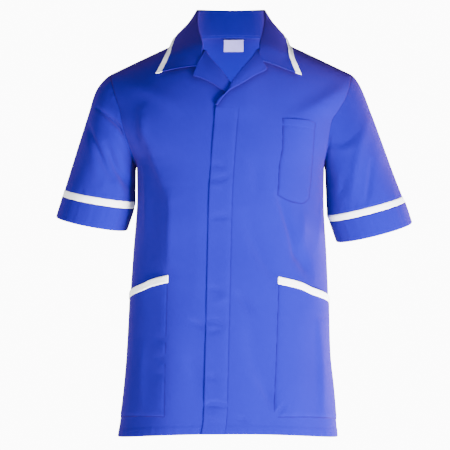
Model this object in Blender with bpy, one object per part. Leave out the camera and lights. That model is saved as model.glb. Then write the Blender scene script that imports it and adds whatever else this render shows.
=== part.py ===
"""Short-sleeved work tunic with a revers collar, hollow, in the shape it has when worn.

Metres, +Z up. The front faces -Y and +X is the wearer's left. The origin is the middle of the
neck, level with the points where the shoulder seams meet the neck.
"""
import math

import bmesh
import bpy
import numpy as np

# Cloth and seams
WALL = 0.0014
SEAM = 0.0003
LAYER_GAP = 0.0009
EDGE = 0.5 * SEAM / 0.25        # half a seam, as a share of a quarter of the body

# Main sizes of the body
FRONT, BACK = -1, 1
LEFT, RIGHT = 1, -1             # the wearer's left and right
SIDE_NAME = {LEFT: "left", RIGHT: "right"}
NECK = 0.078
SHOULDER_SLOPE = 0.48
SHOULDER_ROUND = 0.030
UNDERARM = -0.241
CENTRE_SHIFT = -0.001
SECTION_POWER = 2.3
DEPTH = {FRONT: 0.140, BACK: 0.125}
FALL_POWER = {FRONT: 2.0, BACK: 3.4}
ARMHOLE_SHARE = {FRONT: 0.52, BACK: 0.52}
ARMHOLE_ROUND = 0.45
HEM_SIDE = -0.754
HEM_LIFT = {FRONT: 0.015, BACK: -0.004}

# Closure
OVERLAP = 0.054
PLACKET_WIDTH = 0.0435
PLACKET_TOP = -0.1400
BREAK = -0.138                  # height where the revers begin to turn back
LAP = WALL + LAYER_GAP
LAP_FADE = (0.052, 0.032)       # x from which, and to which, the left front rises onto the right
LAP_OVER_REVERS = 0.0030
REVERS_FADE_X, REVERS_FADE_Z = (0.046, 0.022), (-0.170, -0.132)

# Rows of the panels above and below the underarm. The sleeves' rings match the upper ones.
UPPER_ROWS, LOWER_ROWS = 12, 12

# Places round the neck that the panels and the collar share: degrees from the middle of the
# back, and heights down the front
BACK_NECK = (0, 15, 30, 45, 60, 75, 90)
ROLL_END = -0.027
FRONT_NECK = (-0.115, -0.0937, -0.070, -0.047, ROLL_END, -0.015, -0.007, -0.002, 0.0)

# Trims
COLLAR_TAPE = 0.0103
POCKET_TAPE = 0.0118
BAND_TOP, BAND_BOTTOM = 0.816, 0.859
LABEL = (-0.0139, 0.0250, 0.0060, -0.0165)      # low x, high x, high z, low z
LABEL_GAP, LABEL_THICK = 0.0016, 0.001


class Table:
    """Sizes in rows under named columns, read between the rows along a smooth curve."""

    def __init__(self, columns, *rows):
        self.columns = columns.split()
        self.rows = np.array(sorted(rows), float)

    def __call__(self, column, at):
        keys, values = self.rows[:, 0], self.rows[:, self.columns.index(column)]
        step = np.diff(keys)
        slope = np.diff(values) / step
        same = slope[:-1] * slope[1:] > 0
        total = np.where(same, slope[:-1] + slope[1:], 1)
        bend = np.where(same, 2 * slope[:-1] * slope[1:] / total, 0)
        bend = np.concatenate(([slope[0]], bend, [slope[-1]]))
        at = np.clip(at, keys[0], keys[-1])
        row = np.clip(np.searchsorted(keys, at, side="right") - 1, 0, len(step) - 1)
        t, gap = (at - keys[row]) / step[row], step[row]
        return (values[row] * (1 + 2 * t) * (1 - t) ** 2 + gap * bend[row] * t * (1 - t) ** 2
                + values[row + 1] * t * t * (3 - 2 * t) + gap * bend[row + 1] * t * t * (t - 1))


class QuarterRound:
    """A quarter of a rounded rectangle, walked at an even pace from its top to its side."""

    def __init__(self, width, height, power):
        angle = np.linspace(0, math.pi / 2, 3000)
        self.out = np.sin(angle) ** (2 / power)
        self.up = np.clip(np.cos(angle), 0, 1) ** (2 / power)
        steps = np.hypot(np.diff(self.out) * width, np.diff(self.up) * height)
        self.pace = np.concatenate(([0], np.cumsum(steps))) / steps.sum()

    def out_at(self, pace):
        return np.interp(pace, self.pace, self.out)

    def up_at(self, pace):
        return np.interp(pace, self.pace, self.up)

    def pace_of_out(self, out):
        return np.interp(out, self.out, self.pace)

    def pace_of_up(self, up):
        return np.interp(1 - up, 1 - self.up, self.pace)


BODY = Table("height half_width centre front back",
             (-0.754, 0.206, -0.0063, 0.135, 0.130),
             (-0.728, 0.203, -0.0055, 0.134, 0.129),
             (-0.661, 0.196, -0.0040, 0.132, 0.124),
             (-0.597, 0.190, -0.0046, 0.130, 0.118),
             (-0.496, 0.187, -0.0035, 0.129, 0.112),
             (-0.418, 0.183, -0.0024, 0.130, 0.110),
             (-0.298, 0.176, -0.0012, 0.137, 0.119),
             (UNDERARM, 0.177, CENTRE_SHIFT, DEPTH[FRONT], DEPTH[BACK]))
ARMHOLE = Table("drop left right",
                (0.00, 0.229, 0.229), (0.28, 0.215, 0.2165), (0.45, 0.2005, 0.207),
                (0.58, 0.188, 0.203), (0.78, 0.182, 0.192), (1.00, 0.177, 0.177))
ROLL_LINE = Table("height x",
                  (0.000, 0.078), (-0.027, 0.0515), (-0.0937, -0.0027), (-0.110, -0.0118),
                  (-0.125, -0.0217), (BREAK, -0.0280))
FRONT_EDGE = Table("height x",
                   (BREAK, -0.0280), (-0.188, -0.0325), (-0.250, -0.0372), (-0.310, -0.0404),
                   (-0.420, -0.0430), (-0.630, -0.0480), (-0.710, -0.0502), (-0.755, -0.0575))

# Soft upright folds of the skirt: where they lie, how wide they are and how far they stand out
SKIRT_FOLDS = {
    FRONT: Table("across width start depth",
                 (-0.86, 0.15, 1.45, 0.0035), (-0.45, 0.14, 1.55, 0.0025),
                 (0.22, 0.14, 1.60, -0.0020), (0.56, 0.12, 1.50, -0.0025),
                 (0.84, 0.15, 1.30, 0.0040)),
    BACK: Table("across width start depth",
                (-0.70, 0.13, 1.35, 0.0060), (-0.26, 0.14, 1.50, 0.0045),
                (0.20, 0.15, 1.40, 0.0050), (0.64, 0.12, 1.45, 0.0060)),
}

SECTION = QuarterRound(BODY("half_width", UNDERARM), DEPTH[FRONT], SECTION_POWER)
FALL = {face: QuarterRound(DEPTH[face], -UNDERARM, FALL_POWER[face]) for face in (FRONT, BACK)}


def smooth(low, high, at):
    t = np.clip((at - low) / (high - low), 0, 1)
    return t * t * (3 - 2 * t)


def unit(vectors):
    return vectors / np.maximum(np.linalg.norm(vectors, axis=-1, keepdims=True), 1e-12)


def shoulder(x):
    """Height of the shoulder line at x."""
    return -SHOULDER_SLOPE * (np.hypot(x, SHOULDER_ROUND) - math.hypot(NECK, SHOULDER_ROUND))


def hem_height(face, pace):
    return HEM_SIDE + HEM_LIFT[face] * SECTION.up_at(pace) ** 2


def width_at(side, drop):
    return np.where(side < 0, ARMHOLE("right", drop), ARMHOLE("left", drop))


def skirt_fold(face, across, down):
    """How far the soft folds move the skirt outwards."""
    move = np.zeros_like(down)
    for place, width, start, depth in SKIRT_FOLDS[face].rows:
        move = move + depth * np.exp(-((across - place) / width) ** 2) * smooth(start, 2, down)
    return move * (1 - np.abs(across) ** 12)


def body(face, across, down):
    """Outer form of the body. across runs from -1 to 1, side to side. down is 0 at the shoulder
    line, 1 at the underarm and 2 at the hem."""
    across, down = np.broadcast_arrays(np.asarray(across, float), np.asarray(down, float))
    side, pace, level = np.where(across < 0, -1, 1), np.abs(across), np.clip(down, 0, 1)
    share = pace + (SECTION.out_at(pace) - pace) * level ** 2

    rise, reach = FALL[face].up_at(level), FALL[face].out_at(level)
    drop = 1 - rise
    bend = np.clip((drop - ARMHOLE_ROUND) / (1 - ARMHOLE_ROUND), 0, 1)
    edge = ARMHOLE_SHARE[face] * np.sqrt(1 - bend ** 2)
    fit = (1 - edge ** SECTION_POWER) ** (1 / SECTION_POWER)
    bulge = np.clip(1 - (fit * share) ** SECTION_POWER, 0, 1) ** (1 / SECTION_POWER)
    high_x = CENTRE_SHIFT * drop + side * width_at(side, drop) * share
    high = np.stack((high_x, face * DEPTH[face] * reach * bulge,
                     shoulder(high_x) * rise + UNDERARM * drop), -1)

    height = UNDERARM + (hem_height(face, pace) - UNDERARM) * np.clip(down - 1, 0, 1)
    middle = BODY("centre", height)
    half = BODY("half_width", height)
    deep = BODY("front" if face == FRONT else "back", height)
    low = np.stack((middle + side * half * SECTION.out_at(pace),
                    face * deep * SECTION.up_at(pace), height), -1)
    outwards = unit(np.stack((low[..., 0] - middle, low[..., 1], 0 * height), -1))
    low = low + outwards * skirt_fold(face, across, down)[..., None]
    return np.where((down <= 1)[..., None], high, low)


def body_normal(face, across, down, step=1e-3):
    across, down = np.broadcast_arrays(np.asarray(across, float), np.asarray(down, float))
    sideways = (body(face, np.clip(across + step, -1, 1), down)
                - body(face, np.clip(across - step, -1, 1), down))
    downward = (body(face, across, np.clip(down + step, 0, 2))
                - body(face, across, np.clip(down - step, 0, 2)))
    return unit(face * np.cross(sideways, downward))


def find(face, x, z):
    """across and down of the point of the body at x and height z."""
    x, z = np.broadcast_arrays(np.asarray(x, float), np.asarray(z, float))
    rise = np.clip((z - UNDERARM) / (shoulder(x) - UNDERARM), 0, 1)
    level, drop = FALL[face].pace_of_up(rise), 1 - rise
    offset = x - CENTRE_SHIFT * drop
    share = np.clip(np.abs(offset) / width_at(np.sign(offset), drop), 0, 1)
    low, high = np.zeros_like(share), np.ones_like(share)
    for _ in range(30):
        pace = (low + high) / 2
        short = pace + (SECTION.out_at(pace) - pace) * level ** 2 < share
        low, high = np.where(short, pace, low), np.where(short, high, pace)

    lower = np.clip(np.abs(x - BODY("centre", z)) / BODY("half_width", z), 0, 1)
    lower_pace = SECTION.pace_of_out(lower)
    below = (UNDERARM - z) / (UNDERARM - hem_height(face, lower_pace))
    under = z < UNDERARM
    across = np.where(under, np.sign(x - BODY("centre", z)) * lower_pace, np.sign(offset) * high)
    return across, np.where(under, 1 + np.clip(below, 0, 1), level)


def lap(x, z):
    """How far the left front stands out, where it lies over the right front and its revers."""
    return (LAP * smooth(*LAP_FADE, x)
            + LAP_OVER_REVERS * smooth(*REVERS_FADE_X, x) * smooth(*REVERS_FADE_Z, z))


def front_skin(side, across, down):
    """Outer points and normals of a front at across and down."""
    points, normals = body(FRONT, across, down), body_normal(FRONT, across, down)
    if side == LEFT:
        points = points + normals * lap(points[..., 0], points[..., 2])[..., None]
    return points, normals


def front_at(side, x, z, lift=0.0):
    """Point and normal of a front at x and height z, moved out by lift."""
    points, normals = front_skin(side, *find(FRONT, x, z))
    return points + normals * np.asarray(lift)[..., None], normals


# Walls

CLOTH = {"blue_twill": ((0.045, 0.075, 0.46, 1), 0.62), "white_tape": ((0.86, 0.87, 0.90, 1), 0.7),
         "label_white": ((0.80, 0.79, 0.88, 1), 0.6)}


def material(name):
    colour, roughness = CLOTH[name]
    made = bpy.data.materials.get(name) or bpy.data.materials.new(name)
    made.use_nodes = True
    shader = made.node_tree.nodes["Principled BSDF"]
    shader.inputs["Base Color"].default_value = colour
    shader.inputs["Roughness"].default_value = roughness
    shader.inputs["Metallic"].default_value = 0.0
    return made


def wall(name, outer, inner, cloth="blue_twill", around=False):
    """A closed cloth wall between two grids of points. around joins the last column to the
    first, as on a sleeve."""
    rows, columns = outer.shape[:2]
    spans = columns if around else columns - 1

    def at(layer, row, column):
        return (layer * rows + row) * columns + column % columns

    faces = []
    for row in range(rows - 1):
        for column in range(spans):
            for layer in (0, 1):
                faces.append([at(layer, row, column), at(layer, row, column + 1),
                              at(layer, row + 1, column + 1), at(layer, row + 1, column)])
                if layer:
                    faces[-1].reverse()
    for column in range(spans):
        for row in (0, rows - 1):
            faces.append([at(0, row, column), at(0, row, column + 1),
                          at(1, row, column + 1), at(1, row, column)])
    if not around:
        for row in range(rows - 1):
            for column in (0, columns - 1):
                faces.append([at(0, row, column), at(0, row + 1, column),
                              at(1, row + 1, column), at(1, row, column)])
    mesh = bpy.data.meshes.new(name)
    mesh.from_pydata(np.concatenate((outer, inner)).reshape(-1, 3).tolist(), [], faces)
    turn_outwards(mesh)
    mesh.shade_smooth()
    mesh.set_sharp_from_angle(angle=math.radians(50))
    mesh.materials.append(material(cloth))
    piece = bpy.data.objects.new(name, mesh)
    tunic.objects.link(piece)
    return piece


def turn_outwards(mesh):
    shape = bmesh.new()
    shape.from_mesh(mesh)
    bmesh.ops.recalc_face_normals(shape, faces=shape.faces)
    shape.to_mesh(mesh)
    shape.free()


def surface_wall(name, points, normals, cloth="blue_twill", thick=WALL, around=False):
    return wall(name, points, points - normals * thick, cloth, around)


# Fronts and back

SHOULDER_COLUMNS = 8
NECK_LOWEST = 0.75              # down of a place that is below the neck edge in every column


def first_down(inside, low, high):
    """The smallest down, between low and high, where the cloth begins."""
    if inside(low):
        return low
    for _ in range(40):
        middle = (low + high) / 2
        low, high = (low, middle) if inside(middle) else (middle, high)
    return high


def edge_x(side, z):
    """x of a front's free edge at height z, positive towards its own side."""
    return FRONT_EDGE("x", z) if side == LEFT else -(FRONT_EDGE("x", z) + OVERLAP)


def edge_across(side, down):
    """across of a front's free edge, which above the break runs on straight up."""
    start = find(FRONT, FRONT_EDGE("x", BREAK), BREAK)[1]
    across = 0.0
    for _ in range(6):
        z = body(FRONT, across, max(down, start))[..., 2]
        across = find(FRONT, side * edge_x(side, z), z)[0]
    return float(across)


def panel_rows(top):
    """Even steps of down from the top to the underarm, and on to the hem."""
    return np.concatenate((np.linspace(top, 1, UPPER_ROWS + 1), np.linspace(1, 2, LOWER_ROWS + 1)[1:]))


def front(side):
    """A front from its free edge to its side seam, its neck edge cut along the roll line."""
    start, end = edge_across(side, 0), side * (1 - EDGE)
    heights = np.array(FRONT_NECK)
    neck = (find(FRONT, side * ROLL_LINE("x", heights), heights)[0] - start) / (end - start)
    columns = np.concatenate(([0], neck, np.linspace(neck[-1], 1, SHOULDER_COLUMNS + 2)[1:]))
    across, down = [], []

    def place(column, level):
        free = edge_across(side, level)
        return free + (side * (1 - EDGE) - free) * column

    for column in columns:
        def inside(level):
            x, _, z = body(FRONT, place(column, level), level)
            return side * x >= ROLL_LINE("x", z)
        levels = panel_rows(first_down(inside, EDGE, NECK_LOWEST))
        down.append(levels)
        across.append([place(column, level) for level in levels])
    points, normals = front_skin(side, np.array(across).T, np.array(down).T)
    return surface_wall("front_" + SIDE_NAME[side], points, normals)


def back_neck(side, angle):
    """across and down on the back's round neck, angle degrees from its middle."""
    x, y = side * NECK * math.sin(math.radians(angle)), NECK * math.cos(math.radians(angle))
    low, high = UNDERARM, float(shoulder(x))
    for _ in range(40):
        z = (low + high) / 2
        low, high = (z, high) if body(BACK, *find(BACK, x, z))[1] > y else (low, z)
    return find(BACK, x, low)


def back():
    """The back, its top edge the round back neck and the two shoulder seams."""
    columns = []
    for side, angles in ((RIGHT, BACK_NECK[:0:-1]), (LEFT, BACK_NECK)):
        neck = [(float(across), float(down)) for across, down in
                (back_neck(side, angle) for angle in angles)]
        end = neck[0] if side == RIGHT else neck[-1]
        outward = [(across, EDGE) for across in
                   np.linspace(end[0], side * (1 - EDGE), SHOULDER_COLUMNS)[1:]]
        columns += outward[::-1] + neck if side == RIGHT else neck + outward
    down = np.array([panel_rows(max(top, EDGE)) for _, top in columns]).T
    across = np.broadcast_to([across for across, _ in columns], down.shape)
    return surface_wall("back", body(BACK, across, down), body_normal(BACK, across, down))


def fly_placket():
    """The strip that covers the buttons, on the left front from the break to the hem."""
    rows, columns = np.linspace(0, 1, 23)[:, None], np.linspace(0, 1, 4)[None, :]
    hem = hem_height(FRONT, SECTION.pace_of_out(PLACKET_WIDTH / BODY("half_width", HEM_SIDE)))
    z = PLACKET_TOP + (hem - PLACKET_TOP) * rows + 0 * columns
    x = FRONT_EDGE("x", z) + PLACKET_WIDTH * columns
    return surface_wall("fly_placket", *front_at(LEFT, x, z, WALL + LAYER_GAP))


# Revers

REVERS = {
    LEFT: Table("share roll_height edge_x edge_z",
                (0.00, -0.0310, 0.0555, -0.0535), (0.16, -0.0420, 0.0645, -0.0670),
                (0.34, -0.0600, 0.0440, -0.0800), (0.56, -0.0850, 0.0200, -0.0951),
                (0.76, -0.1060, -0.0057, -0.1103), (0.90, -0.1200, -0.0168, -0.1226),
                (1.00, -0.1350, -0.0252, -0.1352)),
    RIGHT: Table("share roll_height edge_x edge_z",
                 (0.00, -0.0310, 0.0625, -0.0630), (0.16, -0.0420, 0.0689, -0.0790),
                 (0.34, -0.0560, 0.0560, -0.0840), (0.56, -0.0760, 0.0379, -0.0921),
                 (0.80, -0.1000, 0.0127, -0.1082), (0.90, -0.1110, -0.0030, -0.1150),
                 (1.00, -0.1220, -0.0160, -0.1225)),
}
REVERS_LIFT, REVERS_SPREAD = WALL + LAYER_GAP + 0.0001, 0.0026


def revers(side):
    """The part of a front that is turned out along the roll line."""
    share, outward = np.linspace(0, 1, 12)[:, None], np.linspace(0, 1, 6)[None, :]
    table = REVERS[side]
    roll_z = table("roll_height", share)
    roll_x = ROLL_LINE("x", roll_z)
    x = roll_x + (table("edge_x", share) - roll_x) * outward
    z = roll_z + (table("edge_z", share) - roll_z) * outward
    lift = REVERS_LIFT + REVERS_SPREAD * outward * (1 - share) ** 2
    return surface_wall("lapel_" + SIDE_NAME[side], *front_at(side, side * x, z, lift))


# Collar

BACK_SHARE, ROLL_SHARE = 0.45, 0.74
COLLAR = Table("share roll_x roll_y roll_z edge_x edge_y edge_z fold",
               (0.00, 0.0000, 0.0880, 0.0585, 0.0000, 0.1060, -0.0130, 0.0030),
               (0.18, 0.0400, 0.0800, 0.0585, 0.0540, 0.0950, -0.0120, 0.0030),
               (0.32, 0.0640, 0.0480, 0.0560, 0.0900, 0.0640, -0.0060, 0.0030),
               (0.45, 0.0655, 0.0100, 0.0370, 0.1030, 0.0120, 0.0040, 0.0030),
               (0.60, 0.0615, -0.0330, 0.0090, 0.1148, -0.0350, -0.0217, 0.0028),
               (0.74, 0.0500, -0.0740, -0.0235, 0.1200, -0.0600, -0.0400, 0.0021),
               (0.88, 0.0600, -0.0850, -0.0420, 0.1265, -0.0700, -0.0570, 0.0019),
               (1.00, 0.0660, -0.0950, -0.0605, 0.1340, -0.0800, -0.0735, 0.0019))
# How far each front end of the collar lies from the table, outwards and up
COLLAR_END = {LEFT: {"roll": (-0.0075, 0.0075), "edge": (-0.0050, -0.0038)},
              RIGHT: {"roll": (0.0, -0.0010), "edge": (0.0055, 0.0015)}}
EDGE_LEAN_SHARE = 0.3
# The part of the stand that lies under the roll on each front, and its share of that where the
# stand ends
STUB, STUB_START, STUB_FULL = 0.005, 0.35, ROLL_SHARE + 0.05
LEAF_CLEAR = WALL + 0.0016
LEAF_CROWN = 0.003
LEAF_ON_FRONT = -0.02           # y forward of which the leaf can meet the fronts


def neck_seam(side, share):
    """Outer edge point, and its normal, where the collar is sewn to the body."""
    if share < BACK_SHARE:
        place = back_neck(side, 90 * share / BACK_SHARE)
        return body(BACK, *place), body_normal(BACK, *place)
    z = ROLL_END * (share - BACK_SHARE) / (ROLL_SHARE - BACK_SHARE)
    return front_at(side, side * ROLL_LINE("x", z), z)


def collar_column(side, share):
    """Seen points of the collar at one place round the neck, from the neck seam, up the stand,
    over the roll and down the leaf, and the way its hidden side lies at the seam."""
    def at(what, share):
        x, y, z = (float(COLLAR(what + "_" + axis, share)) for axis in "xyz")
        outwards, up = COLLAR_END[side][what]
        lean = smooth(ROLL_SHARE if what == "roll" else EDGE_LEAN_SHARE, 1, share)
        return np.array((side * (x + outwards * lean), y, z + up * lean))

    roll, edge, fold = at("roll", share), at("edge", share), float(COLLAR("fold", share))
    along = unit(at("roll", min(share + 0.01, 1)) - at("roll", max(share - 0.01, 0)))
    if share < ROLL_SHARE:
        seam, out = neck_seam(side, share)
        foot = seam - out * WALL + unit(roll - seam) * SEAM * 2
        up = roll - (foot + edge) / 2
        up = unit(up - along * np.dot(up, along))
        away = np.cross(along, up)
        away = away * np.sign(np.dot(away, edge - foot))
        hidden = out
    else:
        (ground, away) = front_at(side, roll[0], roll[2])
        roll = ground + away * (fold + LAYER_GAP)
        up = np.cross(along, away)
        up = up * np.sign(np.dot(up, roll - edge))
        grown = STUB_START + (1 - STUB_START) * smooth(ROLL_SHARE, STUB_FULL, share)
        foot = roll - away * fold - up * STUB * grown
        hidden = away
    rim_in, top, rim_out = roll - away * fold, roll + up * fold, roll + away * fold
    middle = (foot + rim_in) / 2
    leaf = []
    for step in (0.25, 0.5, 0.75, 1.0):
        point = rim_out + (edge - rim_out) * step + away * LEAF_CROWN * math.sin(math.pi * step)
        leaf.append(clear_front(side, point, share))
    return [foot, middle, rim_in, top, rim_out] + leaf, hidden


def clear_front(side, point, share):
    """Keeps a point of the leaf just off the front below it."""
    if point[1] > LEAF_ON_FRONT:
        return point
    below_shoulder = min(point[2], float(shoulder(point[0])) - 0.002)
    ground, normal = front_at(side, point[0], below_shoulder)
    height = float(np.dot(point - ground, normal))
    return point + normal * max(0.0, LEAF_CLEAR - height)


def collar_grids():
    """Seen and hidden points of the whole collar."""
    shares = np.concatenate((BACK_SHARE / 90 * np.array(BACK_NECK), BACK_SHARE + (ROLL_SHARE
                             - BACK_SHARE) * np.array(FRONT_NECK[-2::-1][:4]) / ROLL_END,
                             np.linspace(ROLL_SHARE, 1, 6)[1:]))
    seen, base = [], []
    for side, order in ((RIGHT, shares[:0:-1]), (LEFT, shares)):
        for share in order:
            column, hidden = collar_column(side, share)
            seen.append(column)
            base.append(hidden)
    seen = np.array(seen)
    before = unit(np.diff(seen, axis=1))
    climb = unit(np.concatenate((before[:, :1], before[:, 1:] + before[:, :-1], before[:, -1:]), 1))
    around = np.gradient(seen, axis=0)
    hidden = seen + unit(np.cross(climb, around)) * WALL
    hidden[:, 0] = seen[:, 0] + np.array(base) * WALL
    return seen, hidden


def collar():
    """The collar and, past a seam, the white tape along its outer edge."""
    seen, hidden = collar_grids()
    leaf = seen[:, -1] - seen[:, -2]
    length = np.linalg.norm(leaf, axis=-1)[:, None]
    for name, cloth, cut in (("collar", "blue_twill", COLLAR_TAPE + SEAM / 2),
                             ("collar_trim", "white_tape", COLLAR_TAPE - SEAM / 2)):
        share = 1 - cut / length
        grids = []
        for grid in (seen, hidden):
            seam = grid[:, -2] + (grid[:, -1] - grid[:, -2]) * share
            grids.append(np.concatenate((grid[:, :-1], seam[:, None]), 1) if name == "collar"
                         else np.stack((seam, grid[:, -1]), 1))
        wall(name, grids[0], grids[1], cloth)


# Sleeves

SLEEVE = {
    LEFT: Table("length top_x top_z under_x under_z half_depth",
                (0.000, 0.2290, -0.0710, 0.1768, -0.2410, 0.0660),
                (0.030, 0.2352, -0.0775, 0.1790, -0.2440, 0.0660),
                (0.090, 0.2449, -0.0925, 0.1800, -0.2520, 0.0670),
                (0.300, 0.2660, -0.1450, 0.1805, -0.2750, 0.0690),
                (0.816, 0.3243, -0.3004, 0.1834, -0.3360, 0.0640),
                (0.859, 0.3289, -0.3108, 0.1880, -0.3470, 0.0635),
                (1.000, 0.3424, -0.3500, 0.2018, -0.3859, 0.0620)),
    RIGHT: Table("length top_x top_z under_x under_z half_depth",
                 (0.000, 0.2290, -0.0710, 0.1788, -0.2410, 0.0660),
                 (0.049, 0.2400, -0.0800, 0.1812, -0.2450, 0.0660),
                 (0.139, 0.2557, -0.1010, 0.1818, -0.2530, 0.0670),
                 (0.300, 0.2700, -0.1450, 0.1816, -0.2660, 0.0690),
                 (0.816, 0.3148, -0.2880, 0.1825, -0.3100, 0.0640),
                 (0.859, 0.3183, -0.3000, 0.1850, -0.3225, 0.0635),
                 (1.000, 0.3304, -0.3390, 0.1986, -0.3639, 0.0620)),
}
SLEEVE_RUN = 0.29               # length along a sleeve, from armhole to cuff edge
SLEEVE_TILT = 0.0065
SETTLE = 0.40                   # length at which a sleeve has left the armhole's shape
RING_GATHER = 1.25              # above 1, the rings stand closer near the armhole
FOLD_RISE, FOLD_FALL = (0, 0.15), (0.80, 0.68)
FOLD_ENDS = 0.12                # share of a half wave that a crease keeps at its ends
RIM_LEAN, RIM_UP = 0.03, np.array((0, 0, 0.3))
# Creases across the front of a sleeve: ends, width and how far they stand out
SLEEVE_FOLDS = {
    LEFT: Table("from_x from_z to_x to_z width depth",
                (0.191, -0.206, 0.224, -0.209, 0.010, -0.0025),
                (0.262, -0.150, 0.250, -0.260, 0.016, 0.0020)),
    RIGHT: Table("from_x from_z to_x to_z width depth",
                 (0.184, -0.225, 0.246, -0.140, 0.009, 0.0045),
                 (0.200, -0.262, 0.262, -0.170, 0.013, -0.0030),
                 (0.268, -0.190, 0.258, -0.255, 0.012, 0.0025)),
}


def armhole(side, around):
    """The armhole edge. around is 0 at the shoulder, 0.5 at the underarm and 1 back again."""
    down = 1 - np.abs(1 - 2 * around)
    front_edge, back_edge = body(FRONT, side, down), body(BACK, side, down)
    return np.where((around < 0.5)[..., None], front_edge, back_edge)


def sleeve_ring(side, length, around):
    table, angle = SLEEVE[side], 2 * math.pi * around
    top_x, top_z = table("top_x", length), table("top_z", length)
    under_x, under_z = table("under_x", length), table("under_z", length)
    swing, depth = np.cos(angle), np.sin(angle)
    x = (top_x + under_x) / 2 + swing * (top_x - under_x) / 2
    z = (top_z + under_z) / 2 + swing * (top_z - under_z) / 2 - SLEEVE_TILT * depth * length
    return np.stack((side * x, -table("half_depth", length) * depth, z), -1)


def fold_height(side, point):
    """How far the creases move a point on the front of a sleeve."""
    move = 0 * point[..., 0]
    for from_x, from_z, to_x, to_z, width, depth in SLEEVE_FOLDS[side].rows:
        run = np.array((to_x - from_x, to_z - from_z))
        offset = np.stack((side * point[..., 0] - from_x, point[..., 2] - from_z), -1)
        along = np.clip((offset @ run) / (run @ run), 0, 1)
        away = np.linalg.norm(offset - along[..., None] * run, axis=-1)
        wave = np.sin(math.pi * (FOLD_ENDS + (1 - 2 * FOLD_ENDS) * along))
        move = move + depth * np.exp(-(away / width) ** 2) * wave
    return move * smooth(0.0, -0.030, point[..., 1])


def sleeve_skin(side, length, around):
    """Outer form of a sleeve. length is 0 at the armhole and 1 at the cuff's edge."""
    length, around = np.broadcast_arrays(np.asarray(length, float), np.asarray(around, float))
    ring = sleeve_ring(side, length, around)
    start = armhole(side, around) - sleeve_ring(side, 0 * length, around)
    ring = ring + (1 - smooth(0, SETTLE, length))[..., None] * start
    middle = (sleeve_ring(side, length, 0 * around) + sleeve_ring(side, length, 0 * around + 0.5)) / 2
    lift = fold_height(side, ring) * smooth(*FOLD_RISE, length) * smooth(*FOLD_FALL, length)
    return ring + unit(ring - middle) * lift[..., None]


def sleeve_normal(side, length, around, step=0.004):
    turn = sleeve_skin(side, length, around + step) - sleeve_skin(side, length, around - step)
    run = (sleeve_skin(side, np.clip(length + step, 0, 1), around)
           - sleeve_skin(side, np.clip(length - step, 0, 1), around))
    return unit(np.cross(turn, run)) * side


def armhole_rim(side, around, step=0.002):
    """The sleeve's first ring, just off the body's armhole edge, outer and inner."""
    down = 1 - np.abs(1 - 2 * around)
    face_is_front = (around < 0.5)[..., None]
    edge = armhole(side, around)
    normal = np.where(face_is_front, body_normal(FRONT, side, down), body_normal(BACK, side, down))
    turn = unit(armhole(side, (around + step) % 1) - armhole(side, (around - step) % 1))
    inside = side * (1 - step)
    before = np.where(face_is_front, body(FRONT, inside, down), body(BACK, inside, down))
    off = unit(np.cross(normal, turn))
    off = off * np.sign(np.sum(off * (unit(edge - before) + RIM_UP), -1, keepdims=True))
    lean = sleeve_normal(side, RIM_LEAN + 0 * around, around)
    bend = np.arctan2(-np.sum(lean * off, -1), np.sum(lean * normal, -1))[..., None]
    bend = np.where(bend < -math.pi / 2, math.pi, np.clip(bend, 0, math.pi))
    outer = edge + SEAM * 1.3 * (off * np.cos(bend / 2) + normal * np.sin(bend / 2))
    return outer, outer + WALL * (off * np.sin(bend) - normal * np.cos(bend))


def sleeve(side):
    """Sleeve, white band and cuff, one tube cut at two seams."""
    around = np.arange(2 * UPPER_ROWS) / (2 * UPPER_ROWS)
    cut = SEAM / 2 / SLEEVE_RUN
    parts = (("sleeve_", "blue_twill", 0.0, BAND_TOP - cut, 13),
             ("sleeve_band_", "white_tape", BAND_TOP + cut, BAND_BOTTOM - cut, 2),
             ("cuff_", "blue_twill", BAND_BOTTOM + cut, 1.0, 3))
    for name, cloth, start, end, rings in parts:
        gather = RING_GATHER if start == 0 else 1
        length = start + (end - start) * np.linspace(0, 1, rings) ** gather
        grid = np.broadcast_arrays(length[:, None], around[None, :])
        outer = sleeve_skin(side, *grid)
        inner = outer - sleeve_normal(side, *grid) * WALL
        if start == 0:
            outer[0], inner[0] = armhole_rim(side, around)
        wall(name + SIDE_NAME[side], outer, inner, cloth, around=True)


# Pockets

POCKET_TOP = {
    LEFT: Table("share height", (0.00, -0.4507), (0.25, -0.4612), (0.41, -0.4724), (1.00, -0.4956)),
    RIGHT: Table("share height", (0.00, -0.4482), (0.23, -0.4561), (0.42, -0.4663), (1.00, -0.4870)),
}
POCKET_INNER = {LEFT: (0.0876, 0.0791), RIGHT: (0.1143, 0.1192)}
POCKET_BOTTOM = {LEFT: (-0.7095, -0.7255), RIGHT: (-0.7095, -0.7215)}
POCKET_GAP, POCKET_BAG = 0.0013, 0.003
CHEST_LEFT = Table("height x", (-0.158, 0.0945), (-0.210, 0.0940), (-0.240, 0.0888), (-0.305, 0.0848))
CHEST_RIGHT = Table("height x", (-0.158, 0.1540), (-0.240, 0.1510), (-0.305, 0.1445))
CHEST_TOP = Table("share height", (0.0, -0.1585), (0.75, -0.1620), (1.0, -0.1675))
CHEST_BOTTOM = Table("share height", (0.0, -0.3000), (0.4, -0.3125), (0.72, -0.3160), (1.0, -0.3065))


def patch_lift(share, depth, bag):
    return WALL + POCKET_GAP + bag * np.sin(math.pi * share) ** 2 * (1 - depth) ** 2


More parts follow.
